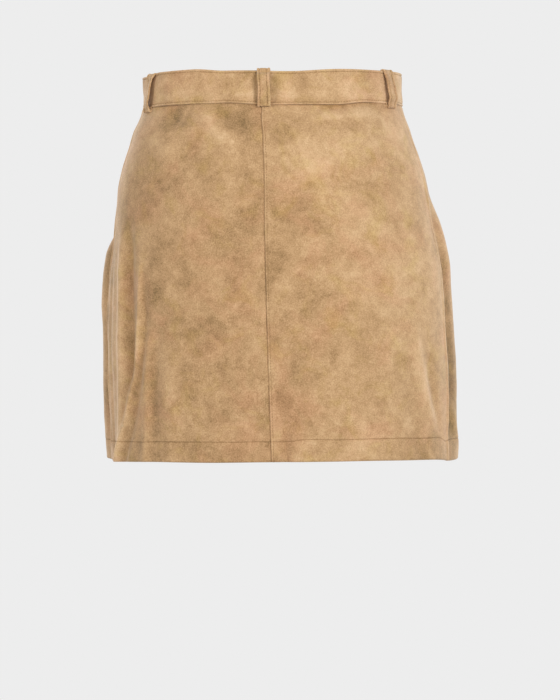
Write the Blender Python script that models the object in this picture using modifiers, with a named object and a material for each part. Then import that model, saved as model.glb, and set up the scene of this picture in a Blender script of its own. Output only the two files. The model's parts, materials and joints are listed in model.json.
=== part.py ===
"""Suede mini skirt, worn form, hollow.

Frame: +Z up, the wearer faces -Y and their left is +X. The origin is the middle of the waist ring, half
way up the waistband. All sizes are in metres. A place on the cloth is given by its angle round the skirt, in
degrees from the centre back towards the wearer's left, and by its height.
"""

import math
from collections import namedtuple

import bmesh
import bpy
from mathutils import Matrix, Vector

# Driving sizes
GAP = 0.0003                 # clearance left between pieces that touch
PANEL_WALL = 0.0013          # one layer of suede
HEM_WALL = 0.0026            # the hem, turned up once
HEM_TURN_UP = 0.0215
TURN_UP_STEP = 0.0015        # the wall thins over this height above the turn-up
HEM_HEIGHT = -0.3835         # lower edge of the skirt
BAND_HEIGHT = 0.0335
BAND_WALL = 0.0026
BAND_PROUD = 0.0008          # the band stands this far outside the panels
BAND_TOP = BAND_HEIGHT / 2
BAND_BOTTOM = -BAND_HEIGHT / 2
PANEL_TOP = BAND_BOTTOM - GAP

OVERLAP_END = -191.5         # the wearer's right end of the band laps over the left
UNDERLAP_END = 187.5
LAP_STEP_START = -161.0      # where the upper end starts to step outwards
LAP_STEP_END = -170.0
LAP_RISE = BAND_WALL + GAP

LOOP_WIDTH = 0.0132
LOOP_WALL = 0.0018
LOOP_FOOT = -0.0208          # lower end, just below the waistband seam
BAND_ROWS = 3

ZIP_SLOT_HALF = 0.0042       # the panel edges stand this far from the centre front along the zip
ZIP_TOP = -0.0200
ZIP_BOTTOM = -0.1640
SLOT_CLOSED = -0.1720
ZIP_ROWS = 12
TAPE_WIDTH = 0.0130
TAPE_WALL = 0.0010
TAPE_BELOW_ZIP = 0.0040      # the tapes run on below the zip, and a little above it
TAPE_ABOVE_ZIP = 0.0005
CHAIN_WIDTH = 0.0052
CHAIN_WALL = 0.0020
SLIDER_WIDTH = 0.0082
SLIDER_DEPTH = 0.0030
SLIDER_LENGTH = 0.0105
SLIDER_HEIGHT = -0.0262      # middle of the slider's body
SLIDER_TAPER = 0.72          # width of its lower end beside its upper one
STOP_LENGTH = 0.0030
STOP_GAP = 0.0005            # between the bottom stop and the lowest tooth
PIVOT_PROUD = 0.0012         # the pull tab's axis, in front of the slider's face and above its middle
BAIL_RADIUS = 0.0020
BAIL_WIRE = 0.00055
TAB_WIDTH = 0.0064
TAB_LENGTH = 0.0240
TAB_WALL = 0.0012
TAB_CLEAR = 0.0016           # the resting tab's middle stands this far off the chain at its tip
TAB_HOLE_WIDTH = 0.0034
TAB_HOLE_LENGTH = 0.0040
BUTTON_RADIUS = 0.0083
BUTTON_FLANGE = 0.0018       # height of the button's rim and of its dome
BUTTON_CROWN = 0.0034

BACK_COLUMNS = 19
FRONT_COLUMNS = 22
LOWER_ROWS = 7
UPPER_ROWS = 7
BAND_COLUMNS = 76

Section = namedtuple("Section", "height half_width back front squareness centre seam_angle")
SECTIONS = (
    Section(0.020, 0.1345, 0.0880, 0.0850, 2.20, 0.0004, 84.0),
    Section(-0.0168, 0.1356, 0.0895, 0.0855, 2.20, 0.0002, 84.0),
    Section(-0.044, 0.1450, 0.0975, 0.0890, 2.24, 0.0012, 84.0),
    Section(-0.086, 0.1582, 0.1075, 0.0935, 2.28, 0.0006, 83.5),
    Section(-0.128, 0.1650, 0.1145, 0.0965, 2.30, -0.0006, 83.0),
    Section(-0.190, 0.1745, 0.1195, 0.1000, 2.30, -0.0018, 82.0),
    Section(-0.274, 0.1788, 0.1205, 0.1040, 2.26, -0.0034, 81.5),
    Section(-0.388, 0.1776, 0.1190, 0.1075, 2.22, -0.0057, 81.5),
)

# Largest folds. Each runs from a top to a bottom place, half_width to either side, and stands out by rise.
Fold = namedtuple("Fold", "top_angle top_height bottom_angle bottom_height half_width rise")
FOLDS = (
    Fold(89.0, -0.130, 87.5, -0.384, 0.011, -0.0050),    # trough in front of the left side seam
    Fold(97.0, -0.128, 96.0, -0.384, 0.022, 0.0135),     # bulge of the front panel beyond it
    Fold(99.0, -0.060, 97.0, -0.165, 0.024, -0.0025),    # dent above that bulge
    Fold(64.0, -0.150, 64.5, -0.384, 0.011, -0.0030),    # ripples of the left back panel
    Fold(70.0, -0.160, 73.0, -0.384, 0.010, 0.0022),
    Fold(55.0, -0.200, 59.0, -0.384, 0.013, 0.0020),
    Fold(-89.0, -0.110, -87.5, -0.384, 0.011, -0.0050),  # the same on the right
    Fold(-97.0, -0.104, -96.0, -0.384, 0.022, 0.0062),
    Fold(-66.0, -0.230, -70.0, -0.384, 0.013, 0.0024),
    Fold(-57.0, -0.250, -60.0, -0.384, 0.013, -0.0020),
    Fold(122.0, -0.170, 126.0, -0.384, 0.015, -0.0040),  # soft folds of the front
    Fold(142.0, -0.190, 146.0, -0.384, 0.017, 0.0030),
    Fold(-118.0, -0.150, -123.0, -0.384, 0.015, -0.0038),
    Fold(-139.0, -0.200, -143.0, -0.384, 0.017, 0.0032),
    Fold(-158.0, -0.220, -160.0, -0.384, 0.014, -0.0024),
)
FOLD_END_LENGTH = 0.040      # a fold fades in over this length

SUEDE = (0.462, 0.287, 0.150)
SUEDE_BAND = (0.500, 0.318, 0.176)
TAPE_CLOTH = (0.300, 0.180, 0.095)
BRASS = (0.560, 0.400, 0.180)


def ease(value, start, stop):
    """0 before start, 1 after stop, smooth between."""
    t = min(max((value - start) / (stop - start), 0.0), 1.0)
    return t * t * (3.0 - 2.0 * t)


def section_at(height):
    """The skirt's section at a height, on a smooth curve through the table's rows."""
    rows = SECTIONS
    upper = 0
    while upper < len(rows) - 2 and height < rows[upper + 1].height:
        upper += 1
    before, here = rows[max(upper - 1, 0)], rows[upper]
    there, after = rows[upper + 1], rows[min(upper + 2, len(rows) - 1)]
    span = there.height - here.height
    t = min(max((height - here.height) / span, 0.0), 1.0)
    values = []
    for a, b, c, d in zip(before[1:], here[1:], there[1:], after[1:]):
        slope_here = (c - a) / (there.height - before.height) * span
        slope_there = (d - b) / (after.height - here.height) * span
        values.append((2 * t**3 - 3 * t**2 + 1) * b + (t**3 - 2 * t**2 + t) * slope_here
                      + (3 * t**2 - 2 * t**3) * c + (t**3 - t**2) * slope_there)
    return Section(height, *values)


def base_point(angle, height):
    """A point of the skirt's plain outer form, without its folds."""
    s = section_at(height)
    across, along = math.sin(math.radians(angle)), math.cos(math.radians(angle))
    depth = s.back if along > 0 else s.front
    power = s.squareness
    radius = (abs(across / s.half_width) ** power + abs(along / depth) ** power) ** (-1.0 / power)
    return Vector((s.centre + radius * across, radius * along, height))


def outward(angle, height):
    """The level direction out of the cloth."""
    run = base_point(angle + 0.5, height) - base_point(angle - 0.5, height)
    return Vector((-run.y, run.x, 0.0)).normalized()


def fold_rise(angle, height):
    """How far the folds move the cloth out at a place."""
    s = section_at(height)
    total = 0.0
    for fold in FOLDS:
        along = (height - fold.top_height) / (fold.bottom_height - fold.top_height)
        middle = fold.top_angle + (fold.bottom_angle - fold.top_angle) * along
        away = (angle - middle + 180.0) % 360.0 - 180.0
        radius = s.half_width if 45.0 < abs(middle) < 135.0 else (s.back + s.front) / 2
        distance = math.radians(away) * radius
        strength = 1.0 - ease(height, fold.top_height - FOLD_END_LENGTH, fold.top_height)
        total += fold.rise * strength * math.exp(-((distance / fold.half_width) ** 2))
    return total


def cloth_point(angle, height, out=0.0):
    """A point of the skirt's outer face, moved out of it by out."""
    return base_point(angle, height) + outward(angle, height) * (fold_rise(angle, height) + out)


def front_angle(across, height):
    """The angle of the place at a distance across from the centre front, towards the wearer's left."""
    return 180.0 - math.degrees(math.atan2(across, section_at(height).front))


def step_angle(angle, distance, height):
    """The angle reached from another by walking a short distance round the skirt."""
    run = (base_point(angle + 0.5, height) - base_point(angle - 0.5, height)).length
    return angle + distance / run


def material(name, colour, roughness, metallic=0.0):
    made = bpy.data.materials.new(name)
    made.use_nodes = True
    shader = made.node_tree.nodes["Principled BSDF"]
    shader.inputs["Base Color"].default_value = (*colour, 1.0)
    shader.inputs["Roughness"].default_value = roughness
    shader.inputs["Metallic"].default_value = metallic
    return made


def add_object(name, bm, collection, finish):
    """A new object from a bmesh, with its own material."""
    mesh = bpy.data.meshes.new(name)
    bm.to_mesh(mesh)
    bm.free()
    made = bpy.data.objects.new(name, mesh)
    mesh.materials.append(finish)
    collection.objects.link(made)
    return made


def laid_grid(columns, heights, place):
    """An open grid laid on the form by place(fraction across, height), with its faces turned out."""
    bm = bmesh.new()
    across = bm.verts.layers.float.new("across")
    up = bm.verts.layers.float.new("up")
    rows = len(heights) - 1
    bmesh.ops.create_grid(bm, x_segments=columns, y_segments=rows, size=0.5)
    for vert in bm.verts:
        vert[across] = round((vert.co.x + 0.5) * columns) / columns
        vert[up] = heights[round((vert.co.y + 0.5) * rows)]
        vert.co = place(vert[across], vert[up])
    bmesh.ops.reverse_faces(bm, faces=bm.faces)      # columns run towards the wearer's left
    return bm


def smooth_faces(bm):
    for face in bm.faces:
        face.smooth = True


def cloth_sheet(name, collection, finish, columns, heights, place, wall_at):
    """A closed wall of cloth, laid by place(fraction, height, depth); wall_at(height) is its thickness."""
    bm = laid_grid(columns, heights, lambda fraction, height: place(fraction, height, 0.0))
    across, up = bm.verts.layers.float["across"], bm.verts.layers.float["up"]
    grown = bmesh.ops.extrude_face_region(bm, geom=list(bm.faces), use_keep_orig=True)["geom"]
    for vert in (item for item in grown if isinstance(item, bmesh.types.BMVert)):
        vert.co = place(vert[across], vert[up], wall_at(vert[up]))
    bmesh.ops.recalc_face_normals(bm, faces=bm.faces)
    smooth_faces(bm)
    return add_object(name, bm, collection, finish)


def spaced(start, stop, count):
    return [start + (stop - start) * i / count for i in range(count + 1)]


def make_panels(collection):
    """Two back panels and two front panels, meeting at the side seams and at the centre back and front."""
    turn_up_top = HEM_HEIGHT + HEM_TURN_UP
    heights = [HEM_HEIGHT, (HEM_HEIGHT + turn_up_top) / 2, turn_up_top]
    heights += spaced(turn_up_top + TURN_UP_STEP, SLOT_CLOSED, LOWER_ROWS)
    heights += spaced(ZIP_BOTTOM, PANEL_TOP, UPPER_ROWS)

    def wall_at(height):
        return HEM_WALL if height < turn_up_top + TURN_UP_STEP / 2 else PANEL_WALL

    def back_place(side):
        def place(fraction, height, depth):
            inner = step_angle(0.0, GAP / 2, height)
            outer = step_angle(section_at(height).seam_angle, -GAP / 2, height)
            share = fraction if side > 0 else 1.0 - fraction
            return cloth_point(side * (inner + (outer - inner) * share), height, -depth)
        return place

    def front_place(side):
        def place(fraction, height, depth):
            inner = step_angle(section_at(height).seam_angle, GAP / 2, height)
            open_share = ease(height, SLOT_CLOSED, ZIP_BOTTOM)
            outer = front_angle(GAP / 2 + (ZIP_SLOT_HALF - GAP / 2) * open_share, height)
            share = fraction if side > 0 else 1.0 - fraction
            return cloth_point(side * (inner + (outer - inner) * share), height, -depth)
        return place

    halves = (("back", back_place, BACK_COLUMNS), ("front", front_place, FRONT_COLUMNS))
    for half, make_place, columns in halves:
        for side, word in ((1, "left"), (-1, "right")):
            name = f"{half}_panel_{word}"
            cloth_sheet(name, collection, material(name, SUEDE, 0.92), columns, heights,
                        make_place(side), wall_at)


def lap_out(angle):
    """How far the band's outer face stands off the panels: its right end steps out to lap over the left."""
    return BAND_PROUD + LAP_RISE * ease(-angle, -LAP_STEP_START, -LAP_STEP_END)


def make_waistband(collection):
    def place(fraction, height, depth):
        angle = OVERLAP_END + (UNDERLAP_END - OVERLAP_END) * fraction
        return base_point(angle, height) + outward(angle, height) * (lap_out(angle) - depth)

    cloth_sheet("waistband", collection, material("waistband", SUEDE_BAND, 0.92), BAND_COLUMNS,
                spaced(BAND_BOTTOM, BAND_TOP, BAND_ROWS), place, lambda height: BAND_WALL)


Loop = namedtuple("Loop", "name angle upper_gap lower_gap")
LOOPS = (                    # the side ones bow out most near their lower ends
    Loop("belt_loop_centre_back", 0.0, 0.0054, 0.0054),
    Loop("belt_loop_back_left", 71.5, 0.0028, 0.0056),
    Loop("belt_loop_back_right", -73.0, 0.0028, 0.0056),
    Loop("belt_loop_front_left", 136.0, 0.0050, 0.0058),
    Loop("belt_loop_front_right", -136.0, 0.0050, 0.0058),
)


def make_belt_loop(loop, collection):
    """A strap sewn down below the band, bowed out for the belt and folded over the band's top edge."""
    near = BAND_PROUD + GAP + LOOP_WALL              # outer face where the strap lies on the band
    high = BAND_PROUD + loop.upper_gap + LOOP_WALL   # outer face where the belt passes
    low = BAND_PROUD + loop.lower_gap + LOOP_WALL
    cap = BAND_TOP + GAP + LOOP_WALL
    route = (                                        # how far out, and how high, from the foot upwards
        (near, LOOP_FOOT), (near, -0.0160), (low - 0.0010, -0.0142), (low, -0.0118), ((low + high) / 2, 0.0),
        (high, 0.0106), (near + 0.0010, 0.0138), (near, cap - 0.0012), (near - 0.0010, cap), (-0.0012, cap),
    )
    out_way = outward(loop.angle, 0.0)
    side_way = Vector((out_way.y, -out_way.x, 0.0))  # towards the wearer's left at the back
    steps = [index / (len(route) - 1) for index in range(len(route))]

    def place(fraction, step):
        out, height = route[round(step * (len(route) - 1))]
        middle = base_point(loop.angle, min(height, BAND_TOP))
        flat = middle + out_way * out + side_way * LOOP_WIDTH * (fraction - 0.5)
        return Vector((flat.x, flat.y, height))

    bm = laid_grid(2, steps, place)
    smooth_faces(bm)
    strap = add_object(loop.name, bm, collection, material(loop.name, SUEDE_BAND, 0.92))
    solid = strap.modifiers.new("Wall", "SOLIDIFY")
    solid.thickness = LOOP_WALL
    solid.offset = -1.0
    solid.use_even_offset = True


def make_zip_strips(collection):
    """The two tapes behind the panel edges and the closed chain of teeth between them."""
    tape_out = -PANEL_WALL - GAP
    heights = spaced(ZIP_BOTTOM - TAPE_BELOW_ZIP, ZIP_TOP + TAPE_ABOVE_ZIP, ZIP_ROWS)
    for side, word in ((1, "left"), (-1, "right")):
        def place(fraction, height, depth, side=side):
            across = GAP / 2 + TAPE_WIDTH * (1.0 - fraction if side > 0 else fraction)
            angle = side * front_angle(across, height)
            return cloth_point(angle, height, tape_out - depth)

        name = f"zip_tape_{word}"
        cloth_sheet(name, collection, material(name, TAPE_CLOTH, 0.85), 2, heights, place,
                    lambda height: TAPE_WALL)

    chain_out = tape_out + GAP + CHAIN_WALL
    top = SLIDER_HEIGHT - SLIDER_LENGTH / 2 - 2 * GAP

    def chain_place(fraction, height, depth):
        angle = front_angle(CHAIN_WIDTH * (0.5 - fraction), height)
        return cloth_point(angle, height, chain_out - depth)

    cloth_sheet("zip_chain", collection, material("zip_chain", BRASS, 0.35, 1.0), 2,
                spaced(ZIP_BOTTOM + STOP_LENGTH + STOP_GAP, top, ZIP_ROWS), chain_place,
                lambda height: CHAIN_WALL)


def box_mesh(size, bevel=0.0, segments=2, lower_scale=1.0):
    """A box with rounded edges; lower_scale narrows its lower end."""
    bm = bmesh.new()
    bmesh.ops.create_cube(bm, size=1.0, matrix=Matrix.Diagonal((*size, 1.0)))
    for vert in bm.verts:
        if vert.co.z < 0.0:
            vert.co.x *= lower_scale
    if bevel:
        bmesh.ops.bevel(bm, geom=list(bm.edges), offset=bevel, segments=segments, affect="EDGES", profile=0.5)
    return bm


def add_boolean(target, other, operation):
    cut = target.modifiers.new(operation.title(), "BOOLEAN")
    cut.operation = operation
    cut.object = other
    other.hide_render = True
    other.display_type = "WIRE"


def front_slope(height):
    """The tilt of the centre front from upright, in radians."""
    rise = 0.004
    return math.atan2(section_at(height - rise).front - section_at(height + rise).front, 2 * rise)


def zip_place(out, height):
    """A point in front of the zip at the centre front."""
    tilt = front_slope(height)
    surface = cloth_point(180.0, height)
    return surface + Vector((0.0, -math.cos(tilt), math.sin(tilt))) * out


def make_zip_fittings(collection, cutters):
    """Slider with its bail, the pull tab that hinges on the bail, and the bottom stop."""
    tilt = front_slope(SLIDER_HEIGHT)
    body_back = -PANEL_WALL
    body_face = body_back + SLIDER_DEPTH
    brass = material("zip_slider", BRASS, 0.35, 1.0)
    block = box_mesh((SLIDER_WIDTH, SLIDER_DEPTH, SLIDER_LENGTH), 0.0007, 2, SLIDER_TAPER)
    slider = add_object("zip_slider", block, collection, brass)
    slider.location = zip_place((body_back + body_face) / 2, SLIDER_HEIGHT)
    slider.rotation_euler = (-tilt, 0.0, 0.0)

    pivot = bpy.data.objects.new("pull_tab_pivot", None)
    collection.objects.link(pivot)
    pivot.location = zip_place(body_face + PIVOT_PROUD, SLIDER_HEIGHT + PIVOT_PROUD)
    tip = zip_place(-PANEL_WALL + CHAIN_WALL + TAB_CLEAR, pivot.location.z - TAB_LENGTH)
    pivot.rotation_euler = (-math.atan2(pivot.location.y - tip.y, pivot.location.z - tip.z), 0.0, 0.0)

    bpy.ops.mesh.primitive_torus_add(major_segments=20, minor_segments=8, major_radius=BAIL_RADIUS,
                                     minor_radius=BAIL_WIRE, rotation=(0.0, math.radians(90.0), 0.0))
    bail = bpy.context.object
    bail.name = "zip_bail"
    for owner in list(bail.users_collection):
        owner.objects.unlink(bail)
    cutters.objects.link(bail)
    bail.location = pivot.location
    add_boolean(slider, bail, "UNION")

    bm = box_mesh((TAB_WIDTH, TAB_WALL, TAB_LENGTH), 0.00025, 1)
    tab = add_object("zip_pull_tab", bm, collection, material("zip_pull_tab", BRASS, 0.35, 1.0))
    for vert in tab.data.vertices:
        vert.co.z += TAB_WALL / 2 - TAB_LENGTH / 2
    tab.parent = pivot
    eye = add_object("pull_tab_eye", box_mesh((TAB_HOLE_WIDTH, TAB_WALL * 3, TAB_HOLE_LENGTH)), cutters,
                     material("pull_tab_eye", BRASS, 0.5))
    eye.parent = pivot
    eye.location = (0.0, 0.0, -TAB_WALL / 2 - TAB_HOLE_LENGTH / 2)
    add_boolean(tab, eye, "DIFFERENCE")

    clamp = box_mesh((CHAIN_WIDTH + 0.001, CHAIN_WALL, STOP_LENGTH), 0.0004, 1)
    stop = add_object("zip_bottom_stop", clamp, collection, material("zip_bottom_stop", BRASS, 0.35, 1.0))
    stop_height = ZIP_BOTTOM + STOP_LENGTH / 2
    stop.location = zip_place(-PANEL_WALL + CHAIN_WALL / 2, stop_height)
    stop.rotation_euler = (-front_slope(stop_height), 0.0, 0.0)


def make_button(collection):
    """A domed metal button turned round an axis that points out of the waistband."""
    bm = bmesh.new()
    rim, crown = BUTTON_RADIUS, BUTTON_CROWN
    profile = ((0.0, crown), (rim * 0.45, crown), (rim * 0.82, crown * 0.86), (rim, BUTTON_FLANGE),
               (rim, 0.0004), (rim * 0.93, 0.0), (0.0, 0.0))
    points = [bm.verts.new((x, 0.0, z)) for x, z in profile]
    for first, second in zip(points, points[1:]):
        bm.edges.new((first, second))
    button = add_object("waistband_button", bm, collection, material("waistband_button", BRASS, 0.35, 1.0))
    turn = button.modifiers.new("Turn", "SCREW")
    turn.angle = math.radians(360.0)
    turn.steps = turn.render_steps = 28
    turn.use_merge_vertices = True
    turn.merge_threshold = 0.00001
    button.location = base_point(180.0, 0.0) + outward(180.0, 0.0) * (BAND_PROUD + LAP_RISE + GAP)
    button.rotation_euler = (math.radians(90.0), 0.0, 0.0)


def main():
    for old in list(bpy.data.objects):
        bpy.data.objects.remove(old, do_unlink=True)
    skirt = bpy.data.collections.new("suede_mini_skirt")
    cutters = bpy.data.collections.new("cutters")
    for group in (skirt, cutters):
        bpy.context.scene.collection.children.link(group)
    make_panels(skirt)
    make_waistband(skirt)
    for loop in LOOPS:
        make_belt_loop(loop, skirt)
    make_zip_strips(skirt)
    make_zip_fittings(skirt, cutters)
    make_button(skirt)


main()
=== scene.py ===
"""Suede mini skirt: its finished cloth, seams, stitching, zip and button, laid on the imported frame.

A place on the cloth is given by its distance round the skirt from the centre-back seam, positive towards
the wearer's left, and by its height. The wearer faces -Y. All sizes are in metres.
"""

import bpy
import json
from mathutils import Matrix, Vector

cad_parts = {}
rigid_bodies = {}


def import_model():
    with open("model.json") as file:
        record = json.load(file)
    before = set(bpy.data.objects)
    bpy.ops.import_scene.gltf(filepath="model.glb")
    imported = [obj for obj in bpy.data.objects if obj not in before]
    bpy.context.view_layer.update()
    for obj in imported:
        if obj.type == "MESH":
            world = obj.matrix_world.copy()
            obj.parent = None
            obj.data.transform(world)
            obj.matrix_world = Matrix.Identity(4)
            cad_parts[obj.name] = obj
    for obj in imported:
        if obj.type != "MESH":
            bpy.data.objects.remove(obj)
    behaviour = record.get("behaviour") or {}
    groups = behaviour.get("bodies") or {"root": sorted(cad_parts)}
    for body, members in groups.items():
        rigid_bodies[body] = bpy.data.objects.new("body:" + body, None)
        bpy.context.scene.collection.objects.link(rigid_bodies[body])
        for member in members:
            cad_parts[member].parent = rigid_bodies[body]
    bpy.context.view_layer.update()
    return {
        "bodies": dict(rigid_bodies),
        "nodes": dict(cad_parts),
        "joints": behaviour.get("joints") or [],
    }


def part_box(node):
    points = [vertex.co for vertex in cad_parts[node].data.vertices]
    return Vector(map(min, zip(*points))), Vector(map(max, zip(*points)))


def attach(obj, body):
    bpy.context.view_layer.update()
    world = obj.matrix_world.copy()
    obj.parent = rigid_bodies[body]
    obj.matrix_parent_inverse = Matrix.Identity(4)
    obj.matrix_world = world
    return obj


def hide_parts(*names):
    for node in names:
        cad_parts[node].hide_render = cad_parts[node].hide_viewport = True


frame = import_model()

import json
import math
from collections import namedtuple

import bmesh
import bpy
import numpy as np
from bpy.props import FloatProperty, FloatVectorProperty, PointerProperty
from mathutils import Matrix, Vector

bl_info = {
    "name": "Suede Mini Skirt",
    "version": (1, 0, 0),
    "blender": (4, 5, 0),
    "location": "View3D > Sidebar > Skirt",
    "description": "Builds a worn suede mini skirt with its seams, stitching, belt loops, zip and button",
    "category": "Add Mesh",
}

MM = 0.001
BAND_BOTTOM, BAND_TOP = (corner[2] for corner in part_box("waistband"))
HEM_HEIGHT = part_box("back_panel_left")[0][2]
PANEL_WALL = 0.0013
BAND_WALL = 0.0026
BAND_PROUD = 0.0008          # how far the band stands out from the plain form
LAP_RISE = 0.0029            # how much further out its lapped end stands
OVERLAP_END, UNDERLAP_END = -191.5, 187.5        # the band's ends and the step of its lap, as angles
LAP_STEP_START, LAP_STEP_END = -161.0, -170.0
ZIP_SLOT_HALF, ZIP_BOTTOM, SLOT_CLOSED = 0.0042, -0.1640, -0.1720
ZIP_STITCH_SHIFT = 0.0026    # how much further from the edge the stitching runs beside the zip
TAPE_WIDTH, TAPE_WALL = 0.0130, 0.0008
TAPE_FACE = -PANEL_WALL - 0.0003                 # where the tapes' faces lie, out from the plain form
TAPE_GAP = 0.00002           # half the gap between the two tapes
TOOTH_PITCH, TOOTH_REACH = 0.00115, 0.00115
DOUBLES, FINE_DOUBLES = 0.00002, 0.00001         # points closer than this are merged
SHARP_EDGE = math.radians(40.0)
LUMP_WAVES = 9

# The skirt's plain form from the waist down: height, half width, depth behind and before the middle,
# squareness, middle and the side seam's angle
SECTIONS = np.array((
    (0.020, 0.1345, 0.0880, 0.0850, 2.20, 0.0004, 84.0),
    (-0.0168, 0.1356, 0.0895, 0.0855, 2.20, 0.0002, 84.0),
    (-0.044, 0.1450, 0.0975, 0.0890, 2.24, 0.0012, 84.0),
    (-0.086, 0.1582, 0.1075, 0.0935, 2.28, 0.0006, 83.5),
    (-0.128, 0.1650, 0.1145, 0.0965, 2.30, -0.0006, 83.0),
    (-0.190, 0.1745, 0.1195, 0.1000, 2.30, -0.0018, 82.0),
    (-0.274, 0.1788, 0.1205, 0.1040, 2.26, -0.0034, 81.5),
    (-0.388, 0.1776, 0.1190, 0.1075, 2.22, -0.0057, 81.5),
))
HEIGHT, HALF_WIDTH, BACK, FRONT, SQUARENESS, MIDDLE, SEAM_ANGLE = range(7)

Fold = namedtuple("Fold", "top_angle top_height bottom_angle bottom_height half_width rise")
FOLDS = (
    Fold(89.0, -0.130, 87.5, -0.384, 0.0095, -0.0060),   # trough in front of the left side seam
    Fold(97.0, -0.128, 96.0, -0.384, 0.022, 0.0140),     # bulge of the front panel beyond it
    Fold(99.0, -0.060, 97.0, -0.165, 0.024, -0.0025),    # dent above that bulge
    Fold(-89.0, -0.110, -87.5, -0.384, 0.0095, -0.0060),  # the same on the right
    Fold(-97.0, -0.104, -96.0, -0.384, 0.022, 0.0066),
    Fold(122.0, -0.170, 126.0, -0.384, 0.015, -0.0040),  # soft folds of the front
    Fold(142.0, -0.190, 146.0, -0.384, 0.017, 0.0030),
    Fold(-118.0, -0.150, -123.0, -0.384, 0.015, -0.0038),
    Fold(-139.0, -0.200, -143.0, -0.384, 0.017, 0.0032),
    Fold(-158.0, -0.220, -160.0, -0.384, 0.014, -0.0024),
)
FOLD_END_LENGTH = 0.040      # how far a fold takes to fade out above its top
DEEP_FOLD = -0.0045          # folds that go in further than this get painted shade in their hollows and are bridged by the hem
FOLD_PAINTED_SHADE, HOLLOW_PAINTED_SHADE, RIDGE_PAINTED_HIGHLIGHT = 170.0, 190.0, 300.0     # painted shade in deep folds and crease hollows, painted highlight on crease ridges: the change of the nap's tone for a metre out

# Smaller creases, each a soft line from a start to an end place; bow bends its middle round the skirt
Crease = namedtuple("Crease", "start_round start_height end_round end_height half_width rise fade bow")
CREASES = (
    # left back panel, beside its side seam
    Crease(0.1580, -0.120, 0.1560, -0.340, 0.0070, -0.0048, 0.060, -0.003),
    Crease(0.1740, -0.130, 0.1840, -0.384, 0.0062, 0.0034, 0.060, -0.008),
    Crease(0.1950, -0.150, 0.1990, -0.384, 0.0050, -0.0016, 0.060, 0.003),
    Crease(0.1390, -0.165, 0.1880, -0.384, 0.0034, 0.0034, 0.045, -0.016),
    Crease(0.1330, -0.195, 0.1740, -0.384, 0.0045, -0.0022, 0.050, -0.013),
    Crease(0.1300, -0.225, 0.1400, -0.384, 0.0060, 0.0022, 0.060, -0.002),
    Crease(0.1180, -0.235, 0.1260, -0.372, 0.0080, -0.0020, 0.060, 0.002),
    Crease(0.1010, -0.250, 0.1070, -0.384, 0.0095, 0.0013, 0.060, 0.002),
    Crease(0.2030, -0.120, 0.2120, -0.200, 0.0040, -0.0016, 0.040, 0.000),
    # drag lines below the waistband, left of the centre back
    Crease(0.0800, -0.016, 0.0180, -0.072, 0.0090, 0.0024, 0.030, 0.000),
    Crease(0.1080, -0.020, 0.0800, -0.046, 0.0085, -0.0022, 0.020, 0.000),
    Crease(0.0560, -0.020, 0.0060, -0.050, 0.0090, -0.0020, 0.022, 0.000),
    Crease(0.1180, -0.040, 0.0900, -0.085, 0.0120, 0.0014, 0.030, 0.000),
    # the roll below the waistband, right of the centre back
    Crease(-0.0380, -0.0320, -0.1260, -0.0265, 0.0046, 0.0020, 0.030, 0.000),
    Crease(-0.0450, -0.0210, -0.1250, -0.0185, 0.0030, -0.0016, 0.020, 0.000),
    Crease(-0.0400, -0.0420, -0.1150, -0.0390, 0.0060, -0.0012, 0.030, 0.000),
    Crease(-0.0120, -0.0240, -0.0170, -0.0700, 0.0075, -0.0014, 0.020, 0.000),
    # lower right back panel
    Crease(-0.1590, -0.225, -0.1890, -0.364, 0.0062, 0.0024, 0.060, 0.010),
    Crease(-0.1730, -0.245, -0.1990, -0.370, 0.0062, -0.0022, 0.060, 0.006),
    Crease(-0.1480, -0.270, -0.1600, -0.384, 0.0100, -0.0017, 0.060, 0.003),
    Crease(-0.0170, -0.325, -0.0140, -0.384, 0.0040, -0.0026, 0.040, 0.000),
    Crease(-0.0320, -0.335, -0.0300, -0.384, 0.0075, 0.0016, 0.040, 0.000),
    Crease(-0.0480, -0.340, -0.0470, -0.384, 0.0060, -0.0012, 0.040, 0.000),
    # the right front panel near its side seam
    Crease(-0.2230, -0.300, -0.2640, -0.384, 0.0050, 0.0012, 0.030, 0.000),
    Crease(-0.2280, -0.290, -0.2260, -0.384, 0.0048, -0.0026, 0.030, 0.000),
    Crease(-0.2240, -0.120, -0.2600, -0.215, 0.0120, 0.0030, 0.040, 0.000),
    Crease(-0.2120, -0.090, -0.2300, -0.135, 0.0080, -0.0020, 0.030, 0.000),
    # left front panel near its side seam
    Crease(0.2360, -0.150, 0.2560, -0.250, 0.0110, 0.0020, 0.035, 0.000),
    Crease(0.2400, -0.300, 0.2300, -0.384, 0.0050, 0.0016, 0.030, 0.000),
    # drag lines and soft ripples of the front
    Crease(0.4300, -0.018, 0.3750, -0.060, 0.0110, 0.0020, 0.028, 0.000),
    Crease(-0.4250, -0.018, -0.3600, -0.066, 0.0110, 0.0021, 0.028, 0.000),
    Crease(0.3600, -0.018, 0.3200, -0.050, 0.0100, -0.0020, 0.024, 0.000),
    Crease(-0.3500, -0.018, -0.3150, -0.055, 0.0100, -0.0020, 0.024, 0.000),
    Crease(0.4350, -0.160, 0.3700, -0.200, 0.0120, 0.0017, 0.030, 0.004),
    Crease(-0.4350, -0.170, -0.3650, -0.215, 0.0120, 0.0018, 0.030, 0.004),
    Crease(0.4300, -0.260, 0.4100, -0.384, 0.0100, 0.0020, 0.050, 0.003),
    Crease(-0.4200, -0.250, -0.4050, -0.384, 0.0100, 0.0018, 0.050, -0.003),
    Crease(0.2950, -0.120, 0.3050, -0.384, 0.0090, 0.0022, 0.060, 0.003),
    Crease(-0.2900, -0.130, -0.3000, -0.384, 0.0090, 0.0021, 0.060, -0.003),
    Crease(0.3500, -0.150, 0.3560, -0.384, 0.0110, -0.0020, 0.060, -0.002),
    Crease(-0.3450, -0.140, -0.3500, -0.384, 0.0110, -0.0020, 0.060, 0.002),
)
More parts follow.
